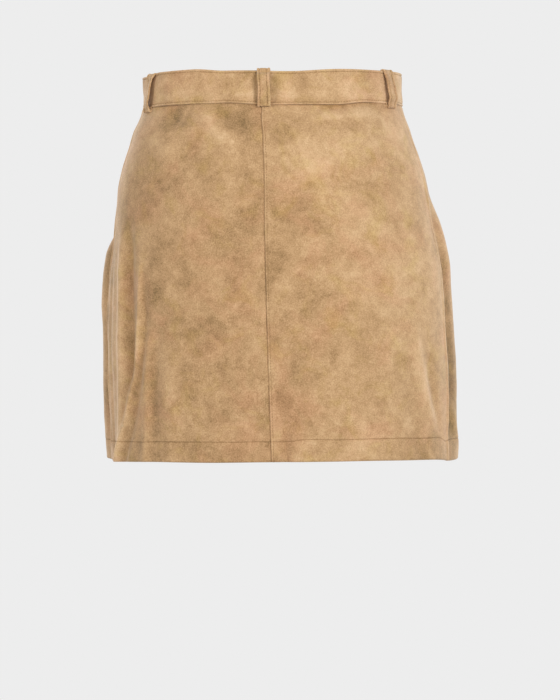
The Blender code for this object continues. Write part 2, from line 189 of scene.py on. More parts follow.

# Where the nap is darker or lighter, and one painted shade: place, reach round and up, and strength from
# dark (-1) to light (1)
Patch = namedtuple("Patch", "round height reach_round reach_up strength")
PATCHES = (
    # left back panel
    Patch(0.088, -0.030, 0.016, 0.009, -0.25),
    Patch(0.020, -0.038, 0.022, 0.012, -0.40),
    Patch(0.050, -0.040, 0.016, 0.012, 0.45),
    Patch(0.098, -0.062, 0.020, 0.016, 0.30),
    Patch(0.090, -0.100, 0.034, 0.020, -0.25),
    Patch(0.030, -0.120, 0.030, 0.022, 0.15),
    Patch(0.130, -0.120, 0.028, 0.040, -0.22),
    Patch(0.060, -0.180, 0.050, 0.022, -0.28),
    Patch(0.110, -0.215, 0.030, 0.040, -0.30),
    Patch(0.030, -0.250, 0.034, 0.030, -0.12),
    Patch(0.075, -0.300, 0.030, 0.034, -0.20),
    Patch(0.040, -0.345, 0.034, 0.018, -0.18),
    Patch(0.110, -0.372, 0.040, 0.010, -0.34),
    Patch(0.180, -0.300, 0.012, 0.080, 0.25),
    Patch(0.200, -0.280, 0.010, 0.090, 0.40),
    # right front panel beside its side seam: painted shade where it turns away from the light
    Patch(-0.240, -0.290, 0.015, 0.095, -1.20),
    # right back panel
    Patch(-0.014, -0.045, 0.014, 0.022, -0.40),
    Patch(-0.016, -0.105, 0.018, 0.030, -0.35),
    Patch(-0.080, -0.030, 0.040, 0.006, 0.40),
    Patch(-0.135, -0.045, 0.022, 0.022, 0.45),
    Patch(-0.085, -0.085, 0.030, 0.020, -0.10),
    Patch(-0.045, -0.152, 0.026, 0.016, -0.28),
    Patch(-0.110, -0.140, 0.024, 0.030, 0.22),
    Patch(-0.150, -0.100, 0.024, 0.040, 0.26),
    Patch(-0.032, -0.320, 0.022, 0.034, -0.40),
    Patch(-0.030, -0.372, 0.014, 0.012, -0.35),
    Patch(-0.090, -0.230, 0.040, 0.034, 0.12),
    Patch(-0.150, -0.290, 0.030, 0.050, 0.20),
    Patch(-0.070, -0.366, 0.030, 0.014, 0.16),
    Patch(-0.130, -0.350, 0.034, 0.020, 0.10),
    # front panels
    Patch(0.300, -0.080, 0.040, 0.030, 0.25),
    Patch(-0.320, -0.090, 0.040, 0.030, 0.22),
    Patch(0.390, -0.160, 0.040, 0.045, -0.25),
    Patch(-0.380, -0.230, 0.045, 0.050, -0.25),
    Patch(0.330, -0.300, 0.050, 0.040, -0.22),
    Patch(-0.300, -0.330, 0.050, 0.030, 0.18),
    # the strongest clouds of both back panels
    Patch(0.153, -0.228, 0.010, 0.075, 0.85),
    Patch(0.120, -0.162, 0.013, 0.032, -0.65),
    Patch(0.124, -0.319, 0.014, 0.036, -0.75),
    Patch(-0.003, -0.063, 0.030, 0.020, 0.75),
    Patch(-0.103, -0.057, 0.038, 0.024, 0.50),
    Patch(0.020, -0.192, 0.014, 0.020, -0.55),
    Patch(-0.058, -0.223, 0.026, 0.022, -0.80),
    Patch(-0.141, -0.243, 0.030, 0.055, 0.80),
    Patch(0.022, -0.342, 0.026, 0.020, 0.70),
    Patch(-0.020, -0.324, 0.008, 0.045, -0.60),
    Patch(0.127, -0.034, 0.024, 0.012, 0.50),
    Patch(-0.148, -0.352, 0.020, 0.016, 0.55),
)

SEAM_STITCH = 0.0025         # the topstitching's distance from a seam
SEAM_ALLOWANCE = 0.0100
HEM_STITCH = 0.0208          # the hem's stitching above its lower edge
HEM_TURN_UP = 0.0235
BAND_TOP_STITCH = 0.0026     # the band's stitching below its top edge and above its lower one
BAND_LOWER_STITCH = 0.0024
BAND_TUCK = 0.0040           # the panels run up this far inside the band

# lean moves a loop's top aside and its foot the other way; pinch is a fold at the edge of its top
Loop = namedtuple("Loop", "name angle upper_gap lower_gap lean pinch skew")
LOOPS = (
    Loop("belt_loop_centre_back", 0.0, 0.0046, 0.0046, 0.0004, 0.0, 0.0),
    Loop("belt_loop_back_left", 71.0, 0.0014, 0.0030, -0.0024, 0.0, -0.34),
    Loop("belt_loop_back_right", -72.0, 0.0024, 0.0046, 0.0010, 0.0013, 0.0),
    Loop("belt_loop_front_left", 136.0, 0.0040, 0.0048, -0.0006, 0.0, 0.0),
    Loop("belt_loop_front_right", -136.0, 0.0040, 0.0048, 0.0008, 0.0, 0.0),
)
LOOP_WIDTH, LOOP_WALL, LOOP_FOOT = 0.0136, 0.0017, -0.0212
LOOP_CHANNELS = (0.0041, -0.0034)


# ---------------------------------------------------------------------------------------------- the form

def ease(value, start, stop):
    """0 before start, 1 after stop, smooth between."""
    t = np.clip((np.asarray(value, float) - start) / (stop - start), 0.0, 1.0)
    return t * t * (3.0 - 2.0 * t)


def bump(distance, half_width):
    """A soft ridge's profile, 1 in its middle."""
    return np.exp(-((distance / half_width) ** 2))


def sections_at(height):
    """The form's section values at each height, on smooth curves through the table's rows."""
    height = np.asarray(height, float)
    last = len(SECTIONS) - 1
    upper = np.clip(np.searchsorted(-SECTIONS[:, HEIGHT], -height, side="right") - 1, 0, last - 1)
    before, here = SECTIONS[np.maximum(upper - 1, 0)], SECTIONS[upper]
    there, after = SECTIONS[upper + 1], SECTIONS[np.minimum(upper + 2, last)]
    span = (there[..., HEIGHT] - here[..., HEIGHT])[..., None]
    t = np.clip((height - here[..., HEIGHT])[..., None] / span, 0.0, 1.0)
    slope_here = (there - before) / (there[..., :1] - before[..., :1]) * span
    slope_there = (after - here) / (after[..., :1] - here[..., :1]) * span
    return ((2 * t**3 - 3 * t**2 + 1) * here + (t**3 - 2 * t**2 + t) * slope_here
            + (3 * t**2 - 2 * t**3) * there + (t**3 - t**2) * slope_there)


def base_points(angle, height):
    """Points of the plain form, without folds; angle in degrees from the centre back."""
    angle, height = np.broadcast_arrays(np.asarray(angle, float), np.asarray(height, float))
    s = sections_at(height)
    across, along = np.sin(np.radians(angle)), np.cos(np.radians(angle))
    depth = np.where(along > 0.0, s[..., BACK], s[..., FRONT])
    power = s[..., SQUARENESS]
    reach = np.abs(across / s[..., HALF_WIDTH]) ** power + np.abs(along / depth) ** power
    radius = reach ** (-1.0 / power)
    return np.stack([s[..., MIDDLE] + radius * across, radius * along, height], axis=-1)


def outward_at(angle, height):
    """The level direction out of the cloth."""
    run = base_points(np.add(angle, 0.5), height) - base_points(np.subtract(angle, 0.5), height)
    way = np.stack([-run[..., 1], run[..., 0], np.zeros(run.shape[:-1])], axis=-1)
    return way / np.linalg.norm(way, axis=-1, keepdims=True)


TABLE_ANGLES = np.arange(-200.0, 200.01, 0.5)


def round_table(height):
    """The distance round from the centre back at each of TABLE_ANGLES, at one height."""
    points = base_points(TABLE_ANGLES, height)
    steps = np.linalg.norm(np.diff(points, axis=0), axis=1)
    distance = np.concatenate([[0.0], np.cumsum(steps)])
    return distance - np.interp(0.0, TABLE_ANGLES, distance)


def angle_of(distance, height):
    """The angle of each distance round the skirt at one height."""
    return np.interp(distance, round_table(height), TABLE_ANGLES)


def round_of(angle, height):
    """The distance round of each angle at one height."""
    return np.interp(angle, TABLE_ANGLES, round_table(height))


def lumps(distance, height, size, seed):
    """A smooth uneven surface of about unit height whose lumps are about as wide as size."""
    random = np.random.default_rng(seed)
    total = 0.0
    for _ in range(LUMP_WAVES):
        heading = random.uniform(0, math.tau)
        pace = random.uniform(0.6, 1.5)
        phase = random.uniform(0, math.tau)
        turn = math.tau * pace / (2.0 * size)
        total = total + np.cos((distance * math.cos(heading) + height * math.sin(heading)) * turn + phase)
    return total / math.sqrt(LUMP_WAVES)


def fold_strength(fold, angle, height):
    """How fully one large fold acts at a place, from 0 to 1."""
    s = sections_at(height)
    along = (height - fold.top_height) / (fold.bottom_height - fold.top_height)
    middle = fold.top_angle + (fold.bottom_angle - fold.top_angle) * along
    away = (angle - middle + 180.0) % 360.0 - 180.0
    side = (np.abs(middle) > 45.0) & (np.abs(middle) < 135.0)
    radius = np.where(side, s[..., HALF_WIDTH], (s[..., BACK] + s[..., FRONT]) / 2)
    fade = 1.0 - ease(height, fold.top_height - FOLD_END_LENGTH, fold.top_height)
    if fold.rise < DEEP_FOLD:        # the stiffer hem bridges the deep troughs
        fade = fade * (1.0 - 0.70 * ease(-height, 0.330, -HEM_HEIGHT))
    return fade * bump(np.radians(away) * radius, fold.half_width)


def fold_out(angle, height):
    """How far the large folds move the cloth out."""
    return sum(fold.rise * fold_strength(fold, angle, height) for fold in FOLDS)


def crease_out(distance, height):
    """How far the smaller creases move the cloth out."""
    total = 0.0
    for crease in CREASES:
        run = np.array([crease.end_round - crease.start_round, crease.end_height - crease.start_height])
        length = float(np.linalg.norm(run))
        run = run / length
        from_start = distance - crease.start_round
        below = height - crease.start_height
        along = from_start * run[0] + below * run[1]
        share = np.clip(along / length, 0.0, 1.0)
        aside = from_start * -run[1] + below * run[0] - crease.bow * 4.0 * share * (1.0 - share)
        strength = ease(along, 0.0, crease.fade) * ease(length - along, 0.0, crease.fade)
        if crease.end_height < HEM_HEIGHT + 0.002:
            strength = ease(along, 0.0, crease.fade)
        total = total + crease.rise * strength * bump(aside, crease.half_width)
    return total


def crease_painted_light(angle, distance, height):
    """The nap's tone where the cloth is creased: painted highlights on the ridges, where the nap is also a
    little rubbed, and painted shade in the hollows.
    """
    hollows = sum(fold.rise * FOLD_PAINTED_SHADE * fold_strength(fold, angle, height)
                  for fold in FOLDS if fold.rise < DEEP_FOLD)
    creases = crease_out(distance, height)
    return hollows + creases * np.where(creases > 0.0, RIDGE_PAINTED_HIGHLIGHT, HOLLOW_PAINTED_SHADE)


def soft_out(distance, height):
    """The uneven lie of soft suede."""
    return (0.45 * MM * lumps(distance, height, 0.055, 11) + 0.16 * MM * lumps(distance, height, 0.022, 12)
            + 0.06 * MM * lumps(distance, height, 0.009, 13))


def cloth_out(angle, distance, height):
    """How far the whole lie of the cloth, without its seams, moves it out of the plain form."""
    return fold_out(angle, height) + crease_out(distance, height) + soft_out(distance, height)


def nap_shade(distance, height):
    """Darker and lighter places of the nap, with painted shade on the right front panel beside its side
    seam, from -1 to 1.
    """
    wander = 0.006 * lumps(distance, height, 0.030, 21)
    total = 0.0
    for patch in PATCHES:
        aside = (distance - patch.round + wander) / patch.reach_round
        above = (height - patch.height + wander) / patch.reach_up
        total = total + patch.strength * np.exp(-(aside**2 + above**2))
    # the curved edge where a hand has brushed the nap of the right back panel
    edge = -0.031 - 0.34 * (-0.051 - height) - 0.9 * (-0.051 - height) ** 2
    past = edge - distance
    reach = ease(height, -0.150, -0.120) * (1.0 - ease(height, -0.052, -0.036))
    total = total + 0.62 * reach * ease(past, -0.0006, 0.0022) * np.exp(-np.maximum(past, 0.0) / 0.034)
    return total


# ------------------------------------------------------------------------------------------- mesh helpers

def settings():
    """The add-on's sizes and colours."""
    return bpy.context.scene.skirt_sizes, bpy.context.scene.skirt_colours


def linked(name, data):
    """A new object at the origin, in the scene."""
    made = bpy.data.objects.new(name, data)
    bpy.context.scene.collection.objects.link(made)
    return made


def new_object(name, mesh, finish):
    """A new object with one material, at the origin."""
    mesh.materials.clear()
    mesh.materials.append(finish)
    return linked(name, mesh)


def mesh_from(bm, name):
    """The finished mesh of a working one."""
    mesh = bpy.data.meshes.new(name)
    bm.to_mesh(mesh)
    bm.free()
    return mesh


def mesh_points(mesh):
    """Where a mesh's points are, a row for each."""
    spots = np.empty(len(mesh.vertices) * 3)
    mesh.vertices.foreach_get("co", spots)
    return spots.reshape(-1, 3)


def add_float(mesh, name, values):
    """A value for every point of a mesh, or one value for them all."""
    layer = mesh.attributes.new(name, "FLOAT", "POINT")
    values = np.broadcast_to(np.ravel(values), len(layer.data))
    layer.data.foreach_set("value", np.ascontiguousarray(values, dtype=np.float32))


def read_float(mesh, name):
    """The values of a mesh's points under one name."""
    layer = mesh.attributes[name]
    values = np.empty(len(layer.data), dtype=np.float32)
    layer.data.foreach_get("value", values)
    return values.astype(float)


def shell_mesh(name, outer, inner, shade, flat):
    """A closed wall between two grids of points (rows, columns, 3); flat lays it out for its UV map."""
    rows, columns = outer.shape[:2]
    count = rows * columns
    points = np.concatenate([outer.reshape(-1, 3), inner.reshape(-1, 3)])
    index = np.arange(count).reshape(rows, columns)
    corners = [index[:-1, :-1], index[:-1, 1:], index[1:, 1:], index[1:, :-1]]
    quads = np.stack(corners, axis=-1).reshape(-1, 4)
    rim = np.concatenate([index[0, :], index[1:, -1], index[-1, -2::-1], index[-2:0:-1, 0]])
    following = np.roll(rim, -1)
    sides = np.stack([following, rim, rim + count, following + count], axis=-1)
    faces = np.concatenate([quads, quads[:, ::-1] + count, sides])
    mesh = bpy.data.meshes.new(name)
    mesh.from_pydata(points.tolist(), [], faces.tolist())
    add_float(mesh, "shade", np.concatenate([shade.ravel(), shade.ravel()]))
    add_float(mesh, "inside", np.concatenate([np.zeros(count), np.ones(count)]))
    uv = mesh.uv_layers.new(name="Cloth")
    loops = np.empty(len(mesh.loops), dtype=np.int32)
    mesh.loops.foreach_get("vertex_index", loops)
    spread = np.concatenate([flat.reshape(-1, 2), flat.reshape(-1, 2)])[loops]
    uv.data.foreach_set("uv", spread.astype(np.float32).ravel())
    tidy_mesh(mesh)
    return mesh


def tidy_mesh(mesh, merge=DOUBLES):
    """Merges doubles, turns the faces out and shades them smooth."""
    bm = bmesh.new()
    bm.from_mesh(mesh)
    bmesh.ops.remove_doubles(bm, verts=bm.verts, dist=merge)
    bmesh.ops.recalc_face_normals(bm, faces=bm.faces)
    bm.to_mesh(mesh)
    bm.free()
    mesh.shade_smooth()


def baked(obj):
    """The object as a plain mesh, its modifiers applied."""
    depsgraph = bpy.context.evaluated_depsgraph_get()
    mesh = bpy.data.meshes.new_from_object(obj.evaluated_get(depsgraph))
    mesh.name = obj.name
    obj.modifiers.clear()
    old = obj.data
    obj.data = mesh
    if isinstance(old, bpy.types.Mesh):
        bpy.data.meshes.remove(old)
    return mesh


def joined_paths(name, runs):
    """Runs of edges in one object; a run is its points and the way the cloth faces at each."""
    points, facings, edges = [], [], []
    for run_points, run_facings in runs:
        first = len(points)
        points += [tuple(p) for p in run_points]
        facings += [tuple(f) for f in run_facings]
        edges += [(i, i + 1) for i in range(first, len(points) - 1)]
    mesh = bpy.data.meshes.new(name)
    mesh.from_pydata(points, edges, [])
    layer = mesh.attributes.new("facing", "FLOAT_VECTOR", "POINT")
    layer.data.foreach_set("vector", np.array(facings, dtype=np.float32).ravel())
    return linked(name, mesh)


def path_object(name, points, facings, **along):
    """One run of edges, with further values along it."""
    made = joined_paths(name, [(points, facings)])
    for key, values in along.items():
        add_float(made.data, key, values)
    return made


def hung_path(name, heights, distance_at, out_at):
    """A path down the skirt from how far round and how far out it lies at each height."""
    spots, facings = [], []
    for height in heights:
        distance = distance_at(height)
        angle = angle_of(distance, height)
        way = outward_at(angle, height)
        spots.append(base_points(angle, height) + way * float(out_at(angle, distance, height)))
        facings.append(way)
    return path_object(name, spots, facings)


# --------------------------------------------------------------------------------------- geometry nodes

def feed(tree, value, socket):
    """Links a socket to another one, or sets its value."""
    if isinstance(value, bpy.types.NodeSocket):
        tree.links.new(value, socket)
    elif value is not None:
        socket.default_value = value


def add_node(tree, kind, **values):
    """A node with its properties and inputs set; an input goes by its name, or by i and its number."""
    node = tree.nodes.new(kind)
    for key, value in values.items():
        if hasattr(node, key):
            setattr(node, key, value)
        elif key[0] == "i" and key[1:].isdigit():
            feed(tree, value, node.inputs[int(key[1:])])
        else:
            feed(tree, value, node.inputs[key.replace("_", " ")])
    return node


def path_tree(name, inputs):
    """A geometry tree that takes a path: its inputs, the path as a curve and the way the cloth faces."""
    tree = bpy.data.node_groups.new(name, "GeometryNodeTree")
    tree.interface.new_socket("Geometry", in_out="INPUT", socket_type="NodeSocketGeometry")
    for label, kind, default in (*inputs, ("Material", "Material", None)):
        socket = tree.interface.new_socket(label, in_out="INPUT", socket_type="NodeSocket" + kind)
        if default is not None:
            socket.default_value = default
    tree.interface.new_socket("Geometry", in_out="OUTPUT", socket_type="NodeSocketGeometry")
    given = tree.nodes.new("NodeGroupInput").outputs
    curve = add_node(tree, "GeometryNodeMeshToCurve", Mesh=given["Geometry"])
    facing = add_node(tree, "GeometryNodeInputNamedAttribute", data_type="FLOAT_VECTOR", Name="facing")
    return tree, given, curve.outputs["Curve"], facing.outputs["Attribute"]


def end_tree(tree, given, geometry):
    """Ends a tree with real geometry of the material asked for."""
    real = add_node(tree, "GeometryNodeRealizeInstances", Geometry=geometry)
    finish = add_node(tree, "GeometryNodeSetMaterial", Geometry=real.outputs["Geometry"],
                      Material=given["Material"])
    sink = tree.nodes.new("NodeGroupOutput")
    tree.links.new(finish.outputs["Geometry"], sink.inputs["Geometry"])
    return tree


def end_with_copies(tree, given, curve, model, offset, rotation):
    """Ends a tree with copies of a model set along a curve at an even pitch, each moved and turned."""
    even = add_node(tree, "GeometryNodeResampleCurve", mode="LENGTH", Curve=curve, Length=given["Pitch"])
    moved = add_node(tree, "GeometryNodeSetPosition", Geometry=even.outputs["Curve"], Offset=offset)
    info = add_node(tree, "GeometryNodeObjectInfo", Object=given[model])
    placed = add_node(tree, "GeometryNodeInstanceOnPoints", Points=moved.outputs["Geometry"],
                      Instance=info.outputs["Geometry"], Rotation=rotation)
    return end_tree(tree, given, placed.outputs["Instances"])


def vector_maths(tree, operation, first, **others):
    """A vector worked out from others."""
    return add_node(tree, "ShaderNodeVectorMath", operation=operation, i0=first, **others).outputs["Vector"]


def run_tree(obj, tree, **values):
    """Puts a tree on an object, sets its named inputs and bakes the result to a plain mesh."""
    modifier = obj.modifiers.new(tree.name, "NODES")
    modifier.node_group = tree
    names = {item.name: item.identifier for item in tree.interface.items_tree if item.in_out == "INPUT"}
    for key, value in values.items():
        modifier[names[key.replace("_", " ")]] = value
    obj.update_tag()
    return baked(obj)


def stitch_row_tree():
    """Threads set end to end along a path, each turned along it and a little askew."""
    tree, given, curve, facing = path_tree("Stitch row", (
        ("Stitch", "Object", None), ("Pitch", "Float", 0.003), ("Lift", "Float", 0.0),
        ("Wander", "Float", 0.06), ("Seed", "Int", 3)))
    raised = vector_maths(tree, "SCALE", facing, Scale=given["Lift"])
    tangent = add_node(tree, "GeometryNodeInputTangent")
    turn = add_node(tree, "FunctionNodeAxesToRotation", primary_axis="X", secondary_axis="Z",
                    Primary_Axis=tangent.outputs["Tangent"], Secondary_Axis=facing)
    negative = add_node(tree, "ShaderNodeMath", operation="MULTIPLY", i0=given["Wander"], i1=-1.0)
    askew = add_node(tree, "FunctionNodeRandomValue", data_type="FLOAT", i2=negative.outputs[0],
                     i3=given["Wander"], Seed=given["Seed"])
    spin = add_node(tree, "FunctionNodeAxisAngleToRotation", Axis=(0.0, 0.0, 1.0), Angle=askew.outputs[1])
    both = add_node(tree, "FunctionNodeRotateRotation", rotation_space="LOCAL",
                    Rotation=turn.outputs["Rotation"], Rotate_By=spin.outputs["Rotation"])
    return end_with_copies(tree, given, curve, "Stitch", raised, both.outputs["Rotation"])


def strap_tree():
    """A flat strap with rounded edges swept along a path."""
    tree, given, curve, facing = path_tree("Swept strap", (
        ("Width", "Float", 0.013), ("Thickness", "Float", 0.0018), ("Edge radius", "Float", 0.0008),
        ("Spacing", "Float", 0.0006)))
    normal = add_node(tree, "GeometryNodeSetCurveNormal", mode="FREE", Curve=curve, Normal=facing)
    outline = add_node(tree, "GeometryNodeCurvePrimitiveQuadrilateral", mode="RECTANGLE",
                       Width=given["Thickness"], Height=given["Width"])
    fillet = add_node(tree, "GeometryNodeFilletCurve", mode="POLY", Curve=outline.outputs["Curve"], Count=4,
                      Radius=given["Edge radius"])
    even = add_node(tree, "GeometryNodeResampleCurve", mode="LENGTH", Curve=fillet.outputs["Curve"],
                    Length=given["Spacing"])
    swept = add_node(tree, "GeometryNodeCurveToMesh", Curve=normal.outputs["Curve"],
                     Profile_Curve=even.outputs["Curve"], Fill_Caps=True)
    return end_tree(tree, given, swept.outputs["Mesh"])


def zip_chain_tree():
    """Zip teeth along a path, every second one turned to come from the other side."""
    tree, given, curve, facing = path_tree("Zip chain", (
        ("Tooth", "Object", None), ("Pitch", "Float", 0.001), ("Reach", "Float", 0.0006)))
    tangent = add_node(tree, "GeometryNodeInputTangent")
    index = add_node(tree, "GeometryNodeInputIndex")
    odd = add_node(tree, "ShaderNodeMath", operation="MODULO", i0=index.outputs["Index"], i1=2.0)
    sign = add_node(tree, "ShaderNodeMath", operation="MULTIPLY_ADD", i0=odd.outputs[0], i1=2.0, i2=-1.0)
    heading = vector_maths(tree, "SCALE", tangent.outputs["Tangent"], Scale=sign.outputs[0])
    side = vector_maths(tree, "CROSS_PRODUCT", facing, i1=heading)
    shift = vector_maths(tree, "SCALE", side, Scale=given["Reach"])
    turn = add_node(tree, "FunctionNodeAxesToRotation", primary_axis="Z", secondary_axis="X",
                    Primary_Axis=facing, Secondary_Axis=heading)
    return end_with_copies(tree, given, curve, "Tooth", shift, turn.outputs["Rotation"])


def tree_named(name, maker):
    """The tree of that name, made the first time it is asked for."""
    return bpy.data.node_groups.get(name) or maker()


def swept(piece, width, wall, edge_radius, spacing, finish):
    """Sweeps a strap along a path object and bakes it."""
    return run_tree(piece, tree_named("Swept strap", strap_tree), Width=width, Thickness=wall,
                    Edge_radius=edge_radius, Spacing=spacing, Material=finish)


# --------------------------------------------------------------------------------------------- materials

def shader_tree(name, **levels):
    """A new material, its tree and its shader, with some of the shader's inputs set."""
    made = bpy.data.materials.new(name)
    made.use_nodes = True
    shader = made.node_tree.nodes["Principled BSDF"]
    for key, value in levels.items():
        shader.inputs[key.replace("_", " ")].default_value = value
    return made, made.node_tree, shader


def object_place(tree):
    """The place on the object."""
    return add_node(tree, "ShaderNodeTexCoord").outputs["Object"]


def add_relief(tree, shader, height, strength, depth):
    """Small bumps in a finish's surface."""
    relief = add_node(tree, "ShaderNodeBump", Strength=strength, Distance=depth, Height=height)
    tree.links.new(relief.outputs["Normal"], shader.inputs["Normal"])


def noise(tree, vector, scale, detail=2.0, roughness=0.5, distortion=0.0):
    """An uneven pattern of lumps, from 0 to 1."""
    return add_node(tree, "ShaderNodeTexNoise", Vector=vector, Scale=scale, Detail=detail,
                    Roughness=roughness, Distortion=distortion).outputs["Fac"]


def maths(tree, operation, first, second=None, third=None):
    """A number worked out from others."""
    node = add_node(tree, "ShaderNodeMath", operation=operation, i0=first, i1=second, i2=third)
    return node.outputs[0]


def mixed(tree, factor, first, second, blend="MIX"):
    """One colour mixed with another by a factor."""
    node = add_node(tree, "ShaderNodeMix", data_type="RGBA", blend_type=blend)
    for place, value in ((0, factor), (6, first), (7, second)):
        feed(tree, value, node.inputs[place])
    return node.outputs[2]


def ramp(tree, factor, stops):
    """Colours looked up by a factor; a stop is its place and its colour."""
    node = add_node(tree, "ShaderNodeValToRGB", Fac=factor)
    elements = node.color_ramp.elements
    while len(elements) < len(stops):
        elements.new(0.5)
    for element, (position, colour) in zip(elements, stops):
        element.position = position
        element.color = (*colour, 1.0)
    return node.outputs["Color"]


def tint_amount(tree, place, scale, distortion, level):
    """Where one of the hide's tints shows, from 0 to 0.9."""
    amount = maths(tree, "SUBTRACT", noise(tree, place, scale, 4.0, 0.62, distortion), level)
    amount = maths(tree, "MULTIPLY", amount, 5.0)
    return add_node(tree, "ShaderNodeClamp", Value=amount, Max=0.9).outputs["Result"]


def suede(name, offset, lightness=0.0):
    """Napped suede: brown and light clouds, pink and yellow tints, a speckled nap and a soft sheen."""
    sizes, colours = settings()
    made, tree, shader = shader_tree(
        name, Roughness=0.94, Specular_IOR_Level=0.12, Sheen_Weight=sizes.sheen, Sheen_Roughness=0.55,
        Sheen_Tint=(*colours.sheen_tint, 1.0))
    place = object_place(tree)
    place = add_node(tree, "ShaderNodeMapping", Vector=place, Location=offset).outputs["Vector"]
    shade = add_node(tree, "ShaderNodeAttribute", attribute_name="shade").outputs["Fac"]
    inside = add_node(tree, "ShaderNodeAttribute", attribute_name="inside").outputs["Fac"]

    clouds = noise(tree, place, 12.0, 3.0, 0.55, 0.4)
    patches = noise(tree, place, 38.0, 4.0, 0.62, 0.8)
    blotches = noise(tree, place, 140.0, 3.0, 0.6, 0.3)
    speckle = noise(tree, place, 780.0, 2.0, 0.7)
    tone = maths(tree, "MULTIPLY_ADD", shade, 0.20, 0.5 + lightness)
    for layer, weight in ((clouds, 0.52), (patches, 0.60), (blotches, 0.38), (speckle, 0.84)):
        tone = maths(tree, "MULTIPLY_ADD", maths(tree, "SUBTRACT", layer, 0.5), weight, tone)
    colour = ramp(tree, tone, (
        (0.0, tuple(0.55 * part for part in colours.suede_dark)), (0.20, colours.suede_dark),
        (0.40, colours.suede_shade), (0.55, colours.suede), (0.70, colours.suede_light),
        (0.95, colours.suede_pale)))
    for amount, tint in ((tint_amount(tree, place, 19.0, 0.6, 0.48), colours.pink_tint),
                         (tint_amount(tree, place, 33.0, 0.8, 0.52), colours.yellow_tint)):
        colour = mixed(tree, amount, colour, (*tint, 1.0), "MULTIPLY")
    plain = maths(tree, "MULTIPLY", inside, 0.72)     # the nap's clouds still show a little on the inside
    colour = mixed(tree, plain, colour, (*colours.suede_inside, 1.0))
    tree.links.new(colour, shader.inputs["Base Color"])

    nap = noise(tree, place, 1500.0, 2.0, 0.7)
    pile = noise(tree, place, 430.0, 3.0, 0.6, 0.5)
    height = maths(tree, "MULTIPLY_ADD", pile, 0.8, nap)
    add_relief(tree, shader, maths(tree, "MULTIPLY_ADD", blotches, 0.8, height), 0.55, 0.00035)
    return made


def thread_finish():
    """Sewing thread, its strands lighter and darker."""
    made, tree, shader = shader_tree("thread", Roughness=0.85)
    _, colours = settings()
    twist = noise(tree, object_place(tree), 1800.0, 2.0, 0.6)
    strands = mixed(tree, twist, (*colours.thread, 1.0), (*colours.thread_light, 1.0))
    tree.links.new(strands, shader.inputs["Base Color"])
    add_relief(tree, shader, twist, 0.4, 0.0001)
    return made


def tape_finish():
    """Woven tape: fine ribs across it and a slight herringbone."""
    made, tree, shader = shader_tree("zip_tape_weave", Roughness=0.85)
    _, colours = settings()
    place = object_place(tree)
    ribs = add_node(tree, "ShaderNodeTexWave", wave_type="BANDS", bands_direction="Z", Vector=place,
                    Scale=310.0, Distortion=0.6, Detail=1.0).outputs["Fac"]
    slant = add_node(tree, "ShaderNodeTexWave", wave_type="BANDS", bands_direction="DIAGONAL",
                     Vector=place, Scale=260.0, Distortion=0.4).outputs["Fac"]
    weave = maths(tree, "MULTIPLY_ADD", slant, 0.5, ribs)
    yarns = mixed(tree, weave, (*colours.tape_dark, 1.0), (*colours.tape, 1.0))
    tree.links.new(yarns, shader.inputs["Base Color"])
    add_relief(tree, shader, weave, 0.5, 0.0002)
    return made


def brass_finish():
    """Satin brass, browned unevenly and rubbed."""
    made, tree, shader = shader_tree("antique_brass", Metallic=1.0)
    _, colours = settings()
    place = object_place(tree)
    browned = noise(tree, place, 260.0, 4.0, 0.6, 0.4)
    tarnish = ramp(tree, browned, ((0.35, colours.brass_dark), (0.62, colours.brass)))
    tree.links.new(tarnish, shader.inputs["Base Color"])
    dull = noise(tree, place, 900.0, 3.0, 0.6)
    tree.links.new(maths(tree, "MULTIPLY_ADD", dull, 0.25, 0.22), shader.inputs["Roughness"])
    add_relief(tree, shader, dull, 0.25, 0.0001)
    return made


FINISHES = {}


def finish_named(name, maker, *values):
    """The finish of that name, made the first time it is asked for."""
    if name not in FINISHES:
        FINISHES[name] = maker(*values)
    return FINISHES[name]


# ---------------------------------------------------------------------------------------------- panels

Panel = namedtuple("Panel", "name side half offset")
PANELS = (
    Panel("back_panel_left", 1, "back", (0.0, 0.0, 0.0)),
    Panel("back_panel_right", -1, "back", (0.31, 0.12, 0.07)),
    Panel("front_panel_left", 1, "front", (0.63, 0.22, 0.15)),
    Panel("front_panel_right", -1, "front", (0.17, 0.41, 0.29)),
)
# columns stand close together at a panel's upright edges, and rows at the edge of the hem
EDGE_STEPS = MM * np.cumsum((0.0, 0.15, 0.25, 0.35, 0.45, 0.5, 0.5, 0.45, 0.45, 0.5, 0.6, 0.8, 1.0, 1.3,
                             1.6, 1.8))
HEM_EDGE_STEPS = np.array((0.0, 0.08, 0.25, 0.5, 0.85, 1.3)) * MM


def panel_heights():
    """Row heights from the hem up, close together at the hem's edge, its stitching and the waistband."""
    stitching, turn_up = HEM_HEIGHT + HEM_STITCH, HEM_HEIGHT + HEM_TURN_UP
    return np.concatenate([
        HEM_HEIGHT + HEM_EDGE_STEPS,
        np.arange(HEM_HEIGHT + 0.0028, stitching - 0.0040, 0.0019),
        np.arange(stitching - 0.0036, turn_up + 0.0012, 0.00042),
        np.linspace(turn_up + 0.003, BAND_BOTTOM - 0.0045, 146),
        np.linspace(BAND_BOTTOM - 0.0040, BAND_BOTTOM + BAND_TUCK, 15)])


def seam_shift(height):
    """How far the centre-back seam strays towards the left from its even line."""
    return 0.0026 * (1.0 - ease(-height, 0.022, 0.056)) - 0.0011 * bump(height + 0.095, 0.035)


def zip_opening(height):
    """How far the panel's edge stands from the centre front."""
    return 0.00005 + ZIP_SLOT_HALF * ease(height, SLOT_CLOSED, ZIP_BOTTOM)


def beside_zip(height):
    """1 where the front's stitching runs beside the zip, 0 below it."""
    return ease(height, SLOT_CLOSED - 0.004, SLOT_CLOSED + 0.002)


def hem_wander(distance):
    """The uneven lie of the hem's edge: it hangs low at the right side and lifts a little at the left."""
    return (0.55 * MM * lumps(distance, 0.0, 0.080, 31) - 3.6 * MM * bump(distance + 0.232, 0.034)
            + 1.6 * MM * bump(distance - 0.252, 0.018))


